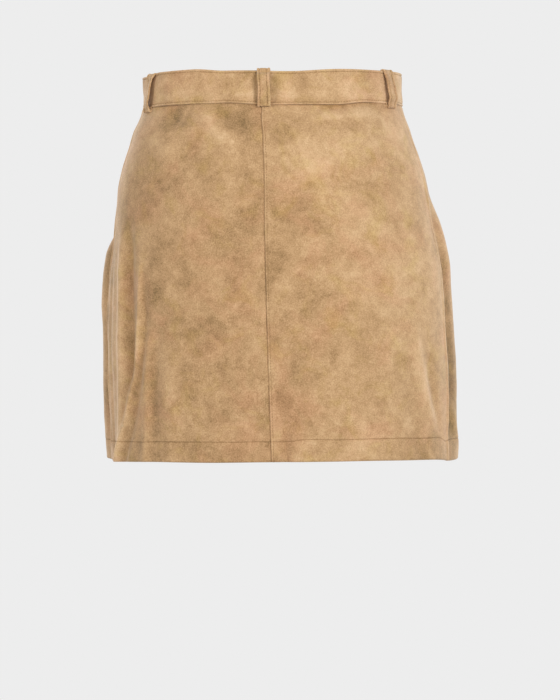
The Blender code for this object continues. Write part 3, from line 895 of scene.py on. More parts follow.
def band_foot_wave(distance):
    """The uneven line of the band's lower edge: it hangs low to the right of the centre back."""
    low = ease(-distance, -0.045, 0.010) * (1.0 - ease(-distance, 0.072, 0.108))
    return 0.35 * MM * lumps(distance, 0.0, 0.07, 98) - 3.2 * MM * low


def row_shift(distance, height):
    """How far the panels' rows are drawn up or down by the lie of the hem and of the band's lower edge."""
    at_hem = 1.0 - ease(height, HEM_HEIGHT + 0.004, HEM_HEIGHT + 0.05)
    at_band = ease(height, BAND_BOTTOM - 0.050, BAND_BOTTOM - 0.002)
    return hem_wander(distance) * at_hem + band_foot_wave(distance) * at_band


def stitch_wander(distance):
    """How the hem's stitching strays from its even height: up on the right back panel, down at its seam."""
    rises = (1.0 - ease(distance, -0.034, -0.020)) * ease(distance, -0.23, -0.19)
    return (1.5 * MM * rises - 2.6 * MM * bump(distance + 0.205, 0.008)
            + 0.25 * MM * lumps(distance, 0.0, 0.03, 32))


def seam_roll(distance, depth=0.9 * MM, width=0.75 * MM):
    """Cloth rolling in to a seam."""
    return -depth * bump(distance, width)


def stitch_dent(distance, height, at, depth=0.42 * MM, pitch=0.0030):
    """The furrow that a row of stitches draws, deeper where the thread goes in."""
    return -depth * bump(distance - at, 0.62 * MM) * (0.8 + 0.2 * np.cos(math.tau * height / pitch))


def puckers(distance, height, reach, seed, size=0.0095):
    """Small ripples that a seam draws in the cloth beside it."""
    return 0.22 * MM * np.exp(-np.abs(distance) / reach) * lumps(0.0, height, size, seed)


def panel_out(panel, from_start, from_end, distance, angle, height):
    """How far a panel's outer face lies outside the plain form."""
    above_hem = height - HEM_HEIGHT
    from_stitch = above_hem - stitch_wander(distance) - HEM_STITCH
    out = cloth_out(angle, distance, height) + stitch_dent(from_stitch, distance, 0.0, 0.55 * MM)
    out = out + 0.22 * MM * (1.0 - ease(above_hem, HEM_TURN_UP - 0.001, HEM_TURN_UP + 0.002))
    out = out + puckers(from_stitch, distance, 0.0050, 41, 0.0085)
    out = out - 0.7 * MM * ease(height, BAND_BOTTOM - 0.0022, BAND_BOTTOM + 0.0004)
    if panel.half == "back":
        out = out + seam_roll(from_start)
        out = out + puckers(from_start, height, 0.006, 51 + panel.side)
        if panel.side < 0:               # the allowances lie under the right panel and are stitched down
            out = out + 0.38 * MM * (1.0 - ease(from_start, 0.0085, 0.0105))
            out = out + stitch_dent(from_start, height, SEAM_STITCH, 0.46 * MM)
        ridge = 0.9 * MM + 0.5 * MM * lumps(0.0, height, 0.030, 61 + panel.side)
        out = out + ridge * bump(from_end - 0.0012, 0.0026) + seam_roll(from_end, 0.9 * MM, 0.5 * MM)
        out = out + puckers(from_end, height, 0.008, 71 + panel.side, 0.013)
    else:
        out = out + seam_roll(from_start, 1.3 * MM, 1.3 * MM)
        out = out + puckers(from_start, height, 0.007, 81 + panel.side, 0.013)
        beside = beside_zip(height)
        out = out + seam_roll(from_end) * (1.0 - beside)
        out = out + stitch_dent(from_end, height, SEAM_STITCH + ZIP_STITCH_SHIFT * beside)
        out = out + 0.25 * MM * (1.0 - ease(from_end, 0.009, 0.011))
    return out


def panel_span(panel, height):
    """How far round from the centre back a panel starts and stops at one height."""
    seam = round_of(sections_at(height)[SEAM_ANGLE], height)
    if panel.half == "back":
        return seam_shift(height) * panel.side, seam
    return seam, round_of(180.0, height) - zip_opening(height)


def panel_grid(panel, heights):
    """A panel's distances from its two upright edges and from the centre back, at every row and column."""
    rows = []
    middle_share = np.linspace(0.0, 1.0, 102)[1:-1]
    reach = EDGE_STEPS[-1]
    for height in heights:
        start, stop = panel_span(panel, height)
        width = stop - start
        middle = reach + (width - 2 * reach) * middle_share
        from_start = np.concatenate([EDGE_STEPS, middle, width - EDGE_STEPS[::-1]])
        rows.append(np.stack([from_start, width - from_start, start + from_start], axis=-1))
    return np.stack(rows)


def panel_shade(panel, from_start, from_end, distance, angle, height):
    """The tone of a panel's nap: clouds, painted highlight and shade on the creases, painted highlights on
    the seams' raised edges, and painted shade in the furrows, under the band and along the hem's lower edge.
    """
    above = height - HEM_HEIGHT
    shade = nap_shade(distance, height) + crease_painted_light(angle, distance, height)
    # painted shade where the cloth rolls in to its seam
    shade = shade - 0.6 * bump(from_start, 0.0008)
    # painted shade in the hem stitching's furrow
    shade = shade - 1.0 * bump(above - stitch_wander(distance) - HEM_STITCH, 0.0006)
    # painted shadow under the band's lower edge
    shade = shade - 0.55 * ease(height, BAND_BOTTOM - 0.0025, BAND_BOTTOM)
    # painted shade along the hem's rounded lower edge
    shade = shade - 0.30 * (1.0 - ease(above, 0.0006, 0.0022))
    if panel.half == "back":
        # painted highlight on the raised ridge at the side seam
        shade = shade + 0.55 * bump(from_end - 0.0015, 0.0022)
        if panel.side < 0:
            # painted highlight on the raised edge beside the centre-back seam, painted shade in its
            # stitching's furrow
            shade = shade + 0.35 * bump(from_start - 0.0015, 0.0009)
            shade = shade - 0.35 * bump(from_start - SEAM_STITCH, 0.0006)
    return shade


def make_panel(panel):
    """One panel: a shell with its creases, rolled seams and a doubled hem with a round edge."""
    sizes, _ = settings()
    heights = panel_heights()
    grid = panel_grid(panel, heights)
    from_start, from_end, distance = grid[..., 0], grid[..., 1], grid[..., 2] * panel.side
    tall = np.repeat(heights[:, None], grid.shape[1], axis=1)
    angle = np.stack([angle_of(distance[row], height) for row, height in enumerate(heights)])
    out = panel_out(panel, from_start, from_end, distance, angle, tall)
    facing = outward_at(angle, tall)

    # the hem's folded edge is round: both faces close in on the middle of the doubled wall
    above = tall - HEM_HEIGHT
    below_middle = np.maximum(PANEL_WALL - above, 0.0)
    close_in = PANEL_WALL - np.sqrt(np.maximum(PANEL_WALL**2 - below_middle**2, 0.0))
    wall = PANEL_WALL * (2.0 - ease(above, HEM_TURN_UP - 0.0002, HEM_TURN_UP + 0.0004))
    base = base_points(angle, tall)
    base[..., 2] += row_shift(distance, tall)
    outer = base + facing * (out - close_in)[..., None]
    plain = cloth_out(angle, distance, tall)
    inner = base + facing * (np.minimum(plain, out) - wall + close_in)[..., None]

    shade = panel_shade(panel, from_start, from_end, distance, angle, tall)
    # the right panels' colour is made lighter: partly the hide's own tone, partly painted light falling from
    # the right
    shade = shade - sizes.right_lighter * panel.side
    mesh = shell_mesh(panel.name + "_suede", outer, inner, shade, np.stack([distance, tall], axis=-1))
    finish = "suede_" + panel.name
    piece = new_object(panel.name + "_suede", mesh, finish_named(finish, suede, finish, panel.offset))
    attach(piece, "skirt")
    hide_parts(panel.name)


# ------------------------------------------------------------------------------------------- waistband

def lap_out(angle):
    """How far the band's outer face stands off the plain form: its right end steps out over the left."""
    return BAND_PROUD + LAP_RISE * ease(-np.asarray(angle, float), -LAP_STEP_START, -LAP_STEP_END)


def band_wave(distance):
    """The uneven line of the band's upper edge: it sags behind and stands up to the left of that."""
    raised = ease(distance, 0.040, 0.075) * (1.0 - ease(distance, 0.118, 0.140))
    return (0.55 * MM * lumps(distance, 0.0, 0.055, 91) - 2.7 * MM * bump(distance + 0.032, 0.036)
            + 2.6 * MM * raised)


def band_lift(distance, height):
    """How far the uneven lines of the band's edges move it up or down."""
    share = ease(height, BAND_BOTTOM, BAND_TOP)
    return band_wave(distance) * share + band_foot_wave(distance) * (1.0 - share)


def band_relief(distance, height):
    """Stitch furrows, the rims beyond them, puckers and the uneven lie of the band's face."""
    from_top, from_foot = BAND_TOP - height, height - BAND_BOTTOM
    upper_depth = 0.75 + 0.30 * lumps(distance, 0.0, 0.011, 92)
    lower_depth = 0.85 + 0.2 * lumps(distance, 0.0, 0.015, 93)
    out = -0.62 * MM * upper_depth * bump(from_top - BAND_TOP_STITCH, 0.75 * MM)
    out = out - 0.66 * MM * lower_depth * bump(from_foot - BAND_LOWER_STITCH, 0.72 * MM)
    out = out + 0.30 * MM * bump(from_top - 0.0012, 0.0010) + 0.34 * MM * bump(from_foot - 0.0011, 0.0009)
    for away, size, depth, seed in ((from_foot, 0.006, 0.32 * MM, 94), (from_top, 0.009, 0.28 * MM, 95)):
        ripples = lumps(distance, height * 0.3, size, seed)
        out = out + depth * ripples * np.exp(-np.abs(away - 0.0045) / 0.004)
    out = out + 0.46 * MM * lumps(distance, height, 0.034, 96)
    out = out + 0.22 * MM * lumps(distance, height, 0.012, 97)
    return out + 0.45 * MM * bump(from_foot - 0.0082, 0.0042)


def band_middle(angle):
    """The middle of the band's wall at each angle, and the way out of it."""
    way = outward_at(angle, 0.0)
    return base_points(angle, 0.0) + way * (lap_out(angle) - BAND_WALL / 2)[:, None], way


def band_shade(distance, height):
    """The tone of the band's nap: painted highlights on its raised rims and raised lower part, painted shade
    in its stitch furrows and a painted shadow beside the centre-back loop.
    """
    from_top, from_foot = BAND_TOP - height, height - BAND_BOTTOM
    shade = nap_shade(distance * 1.7 + 0.05, height * 2.0 - 0.06) * 0.5
    # painted highlights on the raised rims at the band's edges
    shade = shade + 0.45 * bump(from_top - 0.0010, 0.0011) + 0.45 * bump(from_foot - 0.0010, 0.0010)
    # painted shade in the stitch furrows
    shade = shade - 0.85 * bump(from_top - BAND_TOP_STITCH, 0.00055)
    shade = shade - 0.85 * bump(from_foot - BAND_LOWER_STITCH, 0.00055)
    # painted shadow beside the centre-back loop
    shade = shade - 0.9 * bump(distance - 0.0088, 0.0016) * (from_foot > 0.0)
    # painted highlight on the band's raised lower part, and uneven tone
    return shade + 0.40 * bump(from_foot - 0.0090, 0.0045) + 0.25 * lumps(distance, height * 0.6, 0.020, 99)


def make_waistband():
    """The band: a strap swept round the waist, laid on the form, with its stitch furrows pressed in."""
    angles = np.linspace(OVERLAP_END, UNDERLAP_END, 620)
    points, facing = band_middle(angles)
    piece = path_object("waistband_suede", points, facing, angle=angles)
    finish = finish_named("suede_band", suede, "suede_band", (0.45, 0.77, 0.38), 0.03)
    mesh = swept(piece, BAND_TOP - BAND_BOTTOM, BAND_WALL, 0.0011, 0.00062, finish)
    angle = read_float(mesh, "angle")
    spots = mesh_points(mesh)
    middle, way = band_middle(angle)
    through = np.sum((spots - middle) * way, axis=1)
    height = spots[:, 2]
    distance = round_of(angle, 0.0)
    rim = ease(np.abs(height), BAND_TOP - 0.0006, BAND_TOP + 0.0001)
    relief = band_relief(distance, height) * ease(through, -0.0002, 0.0011) * (1.0 - rim)
    out = lap_out(angle) - BAND_WALL / 2 + through + relief
    laid = base_points(angle, height) + outward_at(angle, height) * out[:, None]
    laid[:, 2] += band_lift(distance, height)
    mesh.vertices.foreach_set("co", laid.ravel())
    settle(mesh, band_shade(distance, height), 1.0 - ease(through, -0.0010, -0.0002))
    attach(piece, "skirt")
    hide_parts("waistband")


def strip_attributes(mesh, keep=("shade", "inside")):
    """Removes the working attributes that only the making needed."""
    maps = {layer.name for layer in mesh.uv_layers}
    for name in [a.name for a in mesh.attributes if not a.is_internal and not a.is_required]:
        if name not in keep and name not in maps:
            mesh.attributes.remove(mesh.attributes[name])


def settle(mesh, shade, inside):
    """Gives a strap its tone and side, drops its working values and tidies it."""
    add_float(mesh, "shade", shade)
    add_float(mesh, "inside", inside)
    strip_attributes(mesh)
    tidy_mesh(mesh)


# ------------------------------------------------------------------------------------------- belt loops

def smooth_route(places, count):
    """A smooth curve through places, evenly spaced."""
    places = np.array(places)
    padded = np.concatenate([[2 * places[0] - places[1]], places, [2 * places[-1] - places[-2]]])
    fine = []
    for i in range(1, len(padded) - 2):
        a, b, c, d = padded[i - 1:i + 3]
        for t in np.linspace(0.0, 1.0, 24, endpoint=False):
            curved = (2 * a - 5 * b + 4 * c - d) * t**2 + (3 * b - a - 3 * c + d) * t**3
            fine.append(0.5 * (2 * b + (c - a) * t + curved))
    fine = np.array(fine + [places[-1]])
    length = np.concatenate([[0.0], np.cumsum(np.linalg.norm(np.diff(fine, axis=0), axis=1))])
    even = np.linspace(0.0, length[-1], count)
    return np.stack([np.interp(even, length, fine[:, k]) for k in range(fine.shape[1])], axis=1)


def loop_route(loop):
    """A belt loop's middle line: how far out and how high, upwards from the end tucked under at its foot."""
    half = LOOP_WALL / 2
    near = BAND_PROUD + half + 0.0001
    high, low = BAND_PROUD + loop.upper_gap + half, BAND_PROUD + loop.lower_gap + half
    cap = BAND_TOP + half - 0.0007
    within = BAND_PROUD - BAND_WALL - half - 0.0001
    return smooth_route((
        (near - 0.0017, LOOP_FOOT + 0.0044), (near - 0.0015, LOOP_FOOT + 0.0014),
        (near - 0.0004, LOOP_FOOT + 0.0002), (near + 0.0007, LOOP_FOOT + 0.0014),
        (near + 0.0018, LOOP_FOOT + 0.0046), (low, LOOP_FOOT + 0.0095),
        (low - 0.0003, -0.0070), ((low + high) / 2, 0.0000), (high, 0.0070), (high - 0.0008, 0.0104),
        (near + 0.0008, 0.0128), (near + 0.0002, 0.0146), (near - 0.0001, cap - 0.0012),
        (near - 0.0010, cap), (within + 0.0010, cap), (within, cap - 0.0012), (within, cap - 0.0046)), 130)


def loop_frame(loop):
    """The ways out of and along the band at a belt loop."""
    out_way = outward_at(loop.angle, 0.0)
    return out_way, np.array([out_way[1], -out_way[0], 0.0])


def skewed(loop, aside, height):
    """How far one edge of a belt loop stands off more than the other, between its sewn ends."""
    free = ease(height, LOOP_FOOT + 0.0015, LOOP_FOOT + 0.0070) * (1.0 - ease(height, 0.0100, 0.0150))
    return loop.skew * np.asarray(aside) * free


def loop_point(loop, out, height, aside):
    """A point of a belt loop from how far out, how high and how far aside it is."""
    out_way, side_way = loop_frame(loop)
    root = base_points(loop.angle, np.minimum(height, BAND_TOP))
    leaning = np.asarray(aside) + loop.lean * np.asarray(height) / BAND_TOP
    out = out + skewed(loop, aside, height)
    flat = root + out_way * np.asarray(out)[..., None] + side_way * leaning[..., None]
    flat[..., 2] = height
    return flat


def make_belt_loop(loop, seed):
    """A strap swept along its route, with two stitch furrows and a slightly uneven face."""
    out_way, side_way = loop_frame(loop)
    route = loop_route(loop)
    points = loop_point(loop, route[:, 0], route[:, 1], np.zeros(len(route)))
    facing = strap_facing(points, side_way)
    share = np.linspace(0.0, 1.0, len(route))
    piece = path_object(loop.name + "_suede", points, facing, along=share)
    finish = finish_named("suede_loops", suede, "suede_loops", (0.21, 0.33, 0.81), 0.06)
    mesh = swept(piece, LOOP_WIDTH, LOOP_WALL, 0.00075, 0.00045, finish)
    along = read_float(mesh, "along")
    middle, normal = (np.stack([np.interp(along, share, values[:, k]) for k in range(3)], axis=1)
                      for values in (points, facing))
    away = mesh_points(mesh) - middle
    aside, through = away @ side_way, np.sum(away * normal, axis=1)
    outer = ease(through, -0.0001, 0.0006)
    from_edge = np.abs(aside) - LOOP_WIDTH / 2
    length, tall = along * 0.060, middle[:, 2]

    push = 0.22 * MM * bump(from_edge + 0.0011, 0.0008)
    # painted highlights on the loop's raised edges
    shade = 0.30 * bump(from_edge + 0.0009, 0.0009) * outer
    # each stitch channel is pressed in and gets painted shade
    for channel in LOOP_CHANNELS:
        push = push - 0.52 * MM * bump(aside - channel, 0.55 * MM)
        shade = shade - 0.75 * bump(aside - channel, 0.00045) * outer
    pinched = bump(np.abs(aside - LOOP_WIDTH / 2 + 0.0026), 0.0022) * bump(tall - 0.0112, 0.0040)
    push = push + loop.pinch * pinched
    push = push + 0.16 * MM * lumps(aside, length, 0.008, seed)
    push = push + 0.10 * MM * lumps(0.0, length, 0.012, seed + 1)
    narrow = 1.0 + 0.035 * lumps(0.0, length, 0.016, seed + 2)
    narrow = narrow + 90.0 * loop.pinch * bump(tall - 0.0135, 0.0040)
    sway = 0.35 * MM * lumps(0.0, length, 0.022, seed + 3)
    laid = middle + normal * (through + push * outer)[:, None] + side_way * (aside * narrow + sway)[:, None]
    laid += out_way * skewed(loop, aside, tall)[:, None]
    mesh.vertices.foreach_set("co", laid.ravel())

    # painted shade along the pinched fold at the top of the loop
    fold_line = bump(aside - 0.0022 - 0.6 * (tall - 0.0100), 0.0006) * bump(tall - 0.0100, 0.0040)
    shade = shade + 0.2 * lumps(aside, length, 0.010, seed + 4) - 700.0 * loop.pinch * fold_line
    settle(mesh, shade, 0.0)
    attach(piece, "skirt")
    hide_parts(loop.name)
    length = float(np.sum(np.linalg.norm(np.diff(points, axis=0), axis=1)))


def strap_facing(points, side_way):
    """The way a strap's face looks at each point of its middle line."""
    facing = np.cross(np.gradient(points, axis=0), side_way)
    return facing / np.linalg.norm(facing, axis=1, keepdims=True)


# --------------------------------------------------------------------------------------------- stitching

def stitch_thread(length, radius):
    """One stitch: a short thread, thick in its middle, whose ends dip into the cloth."""
    bm = bmesh.new()
    bmesh.ops.create_uvsphere(bm, u_segments=8, v_segments=5, radius=1.0,
                              matrix=Matrix.Rotation(math.radians(90.0), 4, "Y"))
    for vert in bm.verts:
        run = vert.co.x
        vert.co.x = run * length / 2
        vert.co.y *= radius
        vert.co.z = vert.co.z * radius - radius * 1.1 * run * run
    mesh = mesh_from(bm, "thread")
    mesh.shade_smooth()
    return linked("thread", mesh)


def surface_line(panel, places):
    """Points and facings on a panel's outer face, from distances off its start or end edge and heights."""
    points, facings = [], []
    for from_start, from_end, height in places:
        start, stop = panel_span(panel, height)
        width = stop - start
        if from_start is None:
            from_start = width - from_end
        distance = (start + from_start) * panel.side
        angle = angle_of(distance, height)
        spot_values = (from_start, width - from_start, distance, angle, height)
        out = panel_out(panel, *(np.array(value) for value in spot_values))
        facing = outward_at(angle, height)
        spot = base_points(angle, height) + facing * float(out)
        spot[2] += float(row_shift(distance, height))
        points.append(spot)
        facings.append(facing)
    return points, facings


def centre_back_line(panel, low, high):
    """The stitch line down the centre-back seam."""
    return surface_line(panel, [(SEAM_STITCH, None, h) for h in np.arange(low, high, 0.0025)])


def centre_front_line(panel, low, high):
    """The stitch line down a front panel's centre edge, further from it beside the zip."""
    return surface_line(panel, [(None, SEAM_STITCH + ZIP_STITCH_SHIFT * beside_zip(h), h)
                                for h in np.arange(low, high, 0.0022)])


def hem_line(panel):
    """The stitch line along a panel's hem."""
    height = HEM_HEIGHT + HEM_STITCH
    start, stop = panel_span(panel, height)
    return surface_line(panel, [(d, None, height + float(stitch_wander((start + d) * panel.side)))
                                for d in np.arange(0.0008, stop - start - 0.0008, 0.0022)])


def band_line(height):
    """A stitch line round the band, from one lapped end to the other."""
    angles = np.arange(OVERLAP_END + 1.4, UNDERLAP_END - 12.0, 0.6)
    distance = round_of(angles, 0.0)
    facing = outward_at(angles, height)
    out = lap_out(angles) + band_relief(distance, height)
    spots = base_points(angles, height) + facing * out[:, None]
    spots[:, 2] += band_lift(distance, height)
    return spots, facing


def loop_line(loop, aside):
    """A stitch line down a belt loop's face."""
    route = loop_route(loop)[20:-34]
    points = loop_point(loop, route[:, 0], route[:, 1], np.full(len(route), aside))
    facing = strap_facing(points, loop_frame(loop)[1])
    return points + facing * (LOOP_WALL / 2 - 0.34 * MM), facing


def make_stitching():
    """Every row of stitches, thread by thread along its line."""
    sizes, _ = settings()
    low, top = HEM_HEIGHT + 0.001, BAND_BOTTOM - 0.001
    _, right_back, *fronts = PANELS
    rows = {
        "centre_back_stitches": [centre_back_line(right_back, low, top)],
        "hem_stitches": [hem_line(panel) for panel in PANELS],
        "centre_front_stitches": [centre_front_line(panel, low, top) for panel in fronts],
        "waistband_stitches": [band_line(BAND_TOP - BAND_TOP_STITCH),
                               band_line(BAND_BOTTOM + BAND_LOWER_STITCH)],
        "belt_loop_stitches": [loop_line(loop, side) for loop in LOOPS for side in LOOP_CHANNELS],
    }
    thread = stitch_thread(sizes.stitch_length, sizes.thread_radius)
    finish = finish_named("thread", thread_finish)
    for seed, (name, runs) in enumerate(rows.items()):
        piece = joined_paths(name, runs)
        mesh = run_tree(piece, tree_named("Stitch row", stitch_row_tree), Stitch=thread,
                        Pitch=sizes.stitch_pitch, Lift=0.00006, Wander=0.05, Seed=seed, Material=finish)
        mesh.shade_smooth()
        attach(piece, "skirt")
    bpy.data.objects.remove(thread, do_unlink=True)


# ----------------------------------------------------------------------------------------------- the zip

def front_line(heights, out):
    """Points and facings down the centre front, a distance outside the plain form."""
    facing = np.array([outward_at(180.0, h) for h in heights])
    points = np.array([base_points(180.0, h) for h in heights])
    flare = np.gradient(points[:, 1], heights)
    tilt = np.stack([np.zeros(len(heights)), -np.ones(len(heights)), flare], axis=1)
    tilt /= np.linalg.norm(tilt, axis=1, keepdims=True)
    return points + facing * out, tilt


def make_zip():
    """Tapes behind the edges, interlocked teeth, slider with its bail, pull tab and bottom stop."""
    brass = finish_named("antique_brass", brass_finish)
    heights = np.linspace(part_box("zip_chain")[0][2] + 0.0006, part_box("zip_slider")[0][2] + 0.0010, 90)
    chain = path_object("zip_teeth", *front_line(heights, TAPE_FACE + 0.0012))
    tooth = zip_tooth()
    run_tree(chain, tree_named("Zip chain", zip_chain_tree), Tooth=tooth, Pitch=TOOTH_PITCH,
             Reach=TOOTH_REACH, Material=brass)
    bpy.data.objects.remove(tooth, do_unlink=True)
    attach(chain, "skirt")
    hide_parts("zip_chain")
    make_tape("zip_tape_left", 1)
    make_tape("zip_tape_right", -1)
    make_slider(brass)
    make_pull_tab(brass)
    stop = frame["nodes"]["zip_bottom_stop"]
    stop.data.materials.clear()
    stop.data.materials.append(brass)


def make_tape(node, side):
    """A zip tape, hung behind the panel's edge and drawn in where the cloth is folded inwards."""
    def distance_at(height):
        return (round_of(180.0, height) - TAPE_WIDTH / 2 - TAPE_GAP) * side

    def out_at(angle, distance, height):
        dent = min(0.0, float(fold_out(angle, height)) + float(crease_out(distance, height)))
        tucked = ease(height, BAND_BOTTOM - 0.006, BAND_BOTTOM - 0.001)
        return TAPE_FACE - 0.0005 + dent - 0.0006 * tucked

    heights = np.linspace(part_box(node)[0][2], BAND_BOTTOM + BAND_TUCK, 66)
    piece = hung_path(node + "_woven", heights, distance_at, out_at)
    weave = finish_named("zip_tape_weave", tape_finish)
    mesh = swept(piece, TAPE_WIDTH, TAPE_WALL, 0.0003, 0.0009, weave)
    strip_attributes(mesh)
    tidy_mesh(mesh)
    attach(piece, "skirt")
    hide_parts(node)


def zip_tooth():
    """One brass tooth: a broad clamped root, a narrow neck and a head, its reach along +Y."""
    bm = bmesh.new()
    for reach, size in ((-0.0014, (0.00105, 0.0013, 0.0021)), (-0.0004, (0.00080, 0.0010, 0.0016)),
                        (0.0005, (0.00100, 0.0010, 0.0018))):
        place = Matrix.Translation((0.0, reach, 0.0)) @ Matrix.Diagonal((*size, 1.0))
        block = bmesh.ops.create_cube(bm, size=1.0, matrix=place)
        edges = {edge for vert in block["verts"] for edge in vert.link_edges}
        bmesh.ops.bevel(bm, geom=list(edges), offset=0.00016, segments=1, affect="EDGES")
    return linked("tooth", mesh_from(bm, "tooth"))


def meshed(curve, place, finish):
    """A curve's surface as a mesh object, put in its place."""
    name = curve.name
    made = linked(name, curve)
    depsgraph = bpy.context.evaluated_depsgraph_get()
    mesh = bpy.data.meshes.new_from_object(made.evaluated_get(depsgraph))
    bpy.data.objects.remove(made, do_unlink=True)
    mesh.transform(place)
    tidy_mesh(mesh, FINE_DOUBLES)
    return new_object(name, mesh, finish)


def add_spline(curve, places):
    """A run of straight lines through places."""
    spline = curve.splines.new("POLY")
    spline.points.add(len(places) - 1)
    for point, place in zip(spline.points, places):
        point.co = (*place, 1.0)
    return spline


def outline_solid(name, outlines, thickness, bevel, finish):
    """A flat piece with rounded edges, cut in X and Z to its outline and to those of its holes."""
    curve = bpy.data.curves.new(name, "CURVE")
    curve.dimensions = "2D"
    curve.fill_mode = "BOTH"
    curve.extrude = thickness / 2 - bevel
    curve.bevel_depth = bevel
    curve.bevel_resolution = 2
    curve.offset = -bevel
    for outline in outlines:
        add_spline(curve, [(x, z, 0.0) for x, z in outline]).use_cyclic_u = True
    return meshed(curve, Matrix.Rotation(math.radians(90.0), 4, "X"), finish)


def rounded_outline(rows):
    """A closed outline symmetric about X = 0 through rows of (height, half width), its corners softened."""
    right = [(w, h) for h, w in rows]
    left = [(-w, h) for h, w in reversed(rows)]
    places = np.array(right + left)
    for _ in range(2):
        following = np.roll(places, -1, axis=0)
        cut = [places * 0.75 + following * 0.25, places * 0.25 + following * 0.75]
        places = np.stack(cut, axis=1).reshape(-1, 2)
    return [tuple(p) for p in places]


def rounded_slot(low, high, half, count=6):
    """A slot's outline with round ends."""
    outline = []
    for centre, start in ((high - half, 0.0), (low + half, math.pi)):
        for i in range(count + 1):
            turn = start + math.pi * i / count
            outline.append((half * math.cos(turn), centre + half * math.sin(turn)))
    return outline


def front_tilt(height):
    """How far the centre front leans at one height."""
    step = 0.004
    lower, upper = sections_at(height - step)[FRONT], sections_at(height + step)[FRONT]
    return math.atan2(lower - upper, 2 * step)


# height as a share of the slider's length and half width, thickness and depth behind the slider's face
SLIDER_PARTS = (
    ("zip_slider_plate", ((0.50, 0.0026), (0.34, 0.0041), (0.0, 0.0040), (-0.30, 0.0031), (-0.50, 0.0026)),
     0.0011, 0.00055),
    ("zip_slider_body", ((0.46, 0.0023), (0.30, 0.0036), (0.0, 0.0035), (-0.28, 0.0027), (-0.46, 0.0023)),
     0.0021, 0.0019),
)


def make_slider(brass):
    """The slider: a shield-shaped plate with turned-down sides, and the bail that holds the pull tab."""
    low, high = (Vector(corner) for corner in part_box("zip_slider"))
    pivot = Vector(frame["joints"][0]["pos_m"])
    middle, length = (low.z + high.z) / 2, high.z - low.z
    tilt = front_tilt(middle)
    face = pivot + Vector((0.0, math.cos(tilt), -math.sin(tilt))) * 0.0012
    turn = Matrix.Rotation(-tilt, 4, "X")
    parts = []
    for name, rows, thickness, depth in SLIDER_PARTS:
        outline = rounded_outline([(length * share, half) for share, half in rows])
        part = outline_solid(name, [outline], thickness, 0.0003, brass)
        shift = Matrix.Translation((0.0, depth, middle - face.z))
        part.data.transform(Matrix.Translation(face) @ turn @ shift)
        parts.append(part)
    parts.append(arch_wire("zip_slider_bail", pivot, turn, brass))
    body = joined("zip_slider_brass", parts)
    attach(body, "skirt")
    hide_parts("zip_slider")


def arch_wire(name, pivot, turn, brass):
    """The bail: a wire arched over the pull tab's eye, its feet in the slider's plate."""
    curve = bpy.data.curves.new(name, "CURVE")
    curve.dimensions = "3D"
    curve.bevel_depth = 0.00052
    curve.bevel_resolution = 3
    curve.use_fill_caps = True
    turns = [math.radians(degrees) for degrees in np.linspace(-118.0, 118.0, 25)]
    add_spline(curve, [(0.0, -0.0020 * math.cos(a), 0.0022 * math.sin(a)) for a in turns])
    return meshed(curve, Matrix.Translation(pivot) @ turn, brass)


def joined(name, pieces):
    """Several plain meshes as one object."""
    bm = bmesh.new()
    for piece in pieces:
        bm.from_mesh(piece.data)
    mesh = mesh_from(bm, name)
    finish = pieces[0].data.materials[0]
    for piece in pieces:
        bpy.data.objects.remove(piece, do_unlink=True)
    mesh.shade_smooth()
    mesh.set_sharp_from_angle(angle=SHARP_EDGE)
    return new_object(name, mesh, finish)


def make_pull_tab(brass):
    """The pull tab, hung from the bail by its eye, with a slot for grip near its round end."""
    pivot = Vector(frame["joints"][0]["pos_m"])
    low, high = (Vector(corner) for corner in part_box("zip_pull_tab"))
    length = high.z - low.z
    lean = math.atan2(pivot.y - (low.y + 0.0006), pivot.z - low.z)
    tab = outline_solid("zip_pull_tab_brass", [
        rounded_outline(((0.0006, 0.0030), (-0.0030, 0.0032), (-0.0066, 0.0026), (-length * 0.62, 0.0029),
                         (-length * 0.86, 0.0032), (-length + 0.0006, 0.0021))),
        rounded_slot(-0.0046, -0.0006, 0.0017), rounded_slot(-length * 0.86, -length * 0.62, 0.0011)],
        0.0012, 0.00025, brass)
    tab.data.transform(Matrix.Translation(pivot) @ Matrix.Rotation(-lean, 4, "X"))
    tab.data.set_sharp_from_angle(angle=SHARP_EDGE)
    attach(tab, "pull_tab")
    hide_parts("zip_pull_tab")


# -------------------------------------------------------------------------------------------- the button

def turned(name, profile, steps, finish):
    """A piece turned round +Z from a profile of (radius, height), outer side top to bottom."""
    bm = bmesh.new()
    points = [bm.verts.new((r, 0.0, z)) for r, z in profile]
    edges = [bm.edges.new(pair) for pair in zip(points, points[1:])]
    bmesh.ops.spin(bm, geom=points + edges, cent=(0, 0, 0), axis=(0, 0, 1), dvec=(0, 0, 0),
                   angle=math.tau, steps=steps, use_merge=True)
    mesh = mesh_from(bm, name)
    tidy_mesh(mesh, FINE_DOUBLES)
    return new_object(name, mesh, finish)


# the rim and back of the button from its dome outwards: shares of its radius and of its depth
BUTTON_RIM = ((0.78, 0.70), (0.82, 0.68), (0.86, 0.80), (0.91, 0.86), (0.96, 0.78), (1.0, 0.55),
              (0.99, 0.30), (0.93, 0.12), (0.60, 0.02), (0.0, 0.0))


def make_button():
    """The domed button with a raised rim."""
    brass = finish_named("antique_brass", brass_finish)
    low, high = (Vector(corner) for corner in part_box("waistband_button"))
    depth = high.y - low.y
    rim = (high.z - low.z) / 2 * 0.985
    dome = [(share, 0.92 - 0.20 * share**2) for share in (0.0, *np.linspace(0.1, 0.74, 12))]
    profile = [(rim * share, depth * tall) for share, tall in (*dome, *BUTTON_RIM)]
    button = turned("waistband_button_brass", profile, 64, brass)
    button.data.transform(Matrix.Translation(((low.x + high.x) / 2, high.y, (low.z + high.z) / 2))
                          @ Matrix.Rotation(math.radians(90.0), 4, "X"))
    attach(button, "skirt")
    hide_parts("waistband_button")


# ------------------------------------------------------------------------------------- seams on the inside

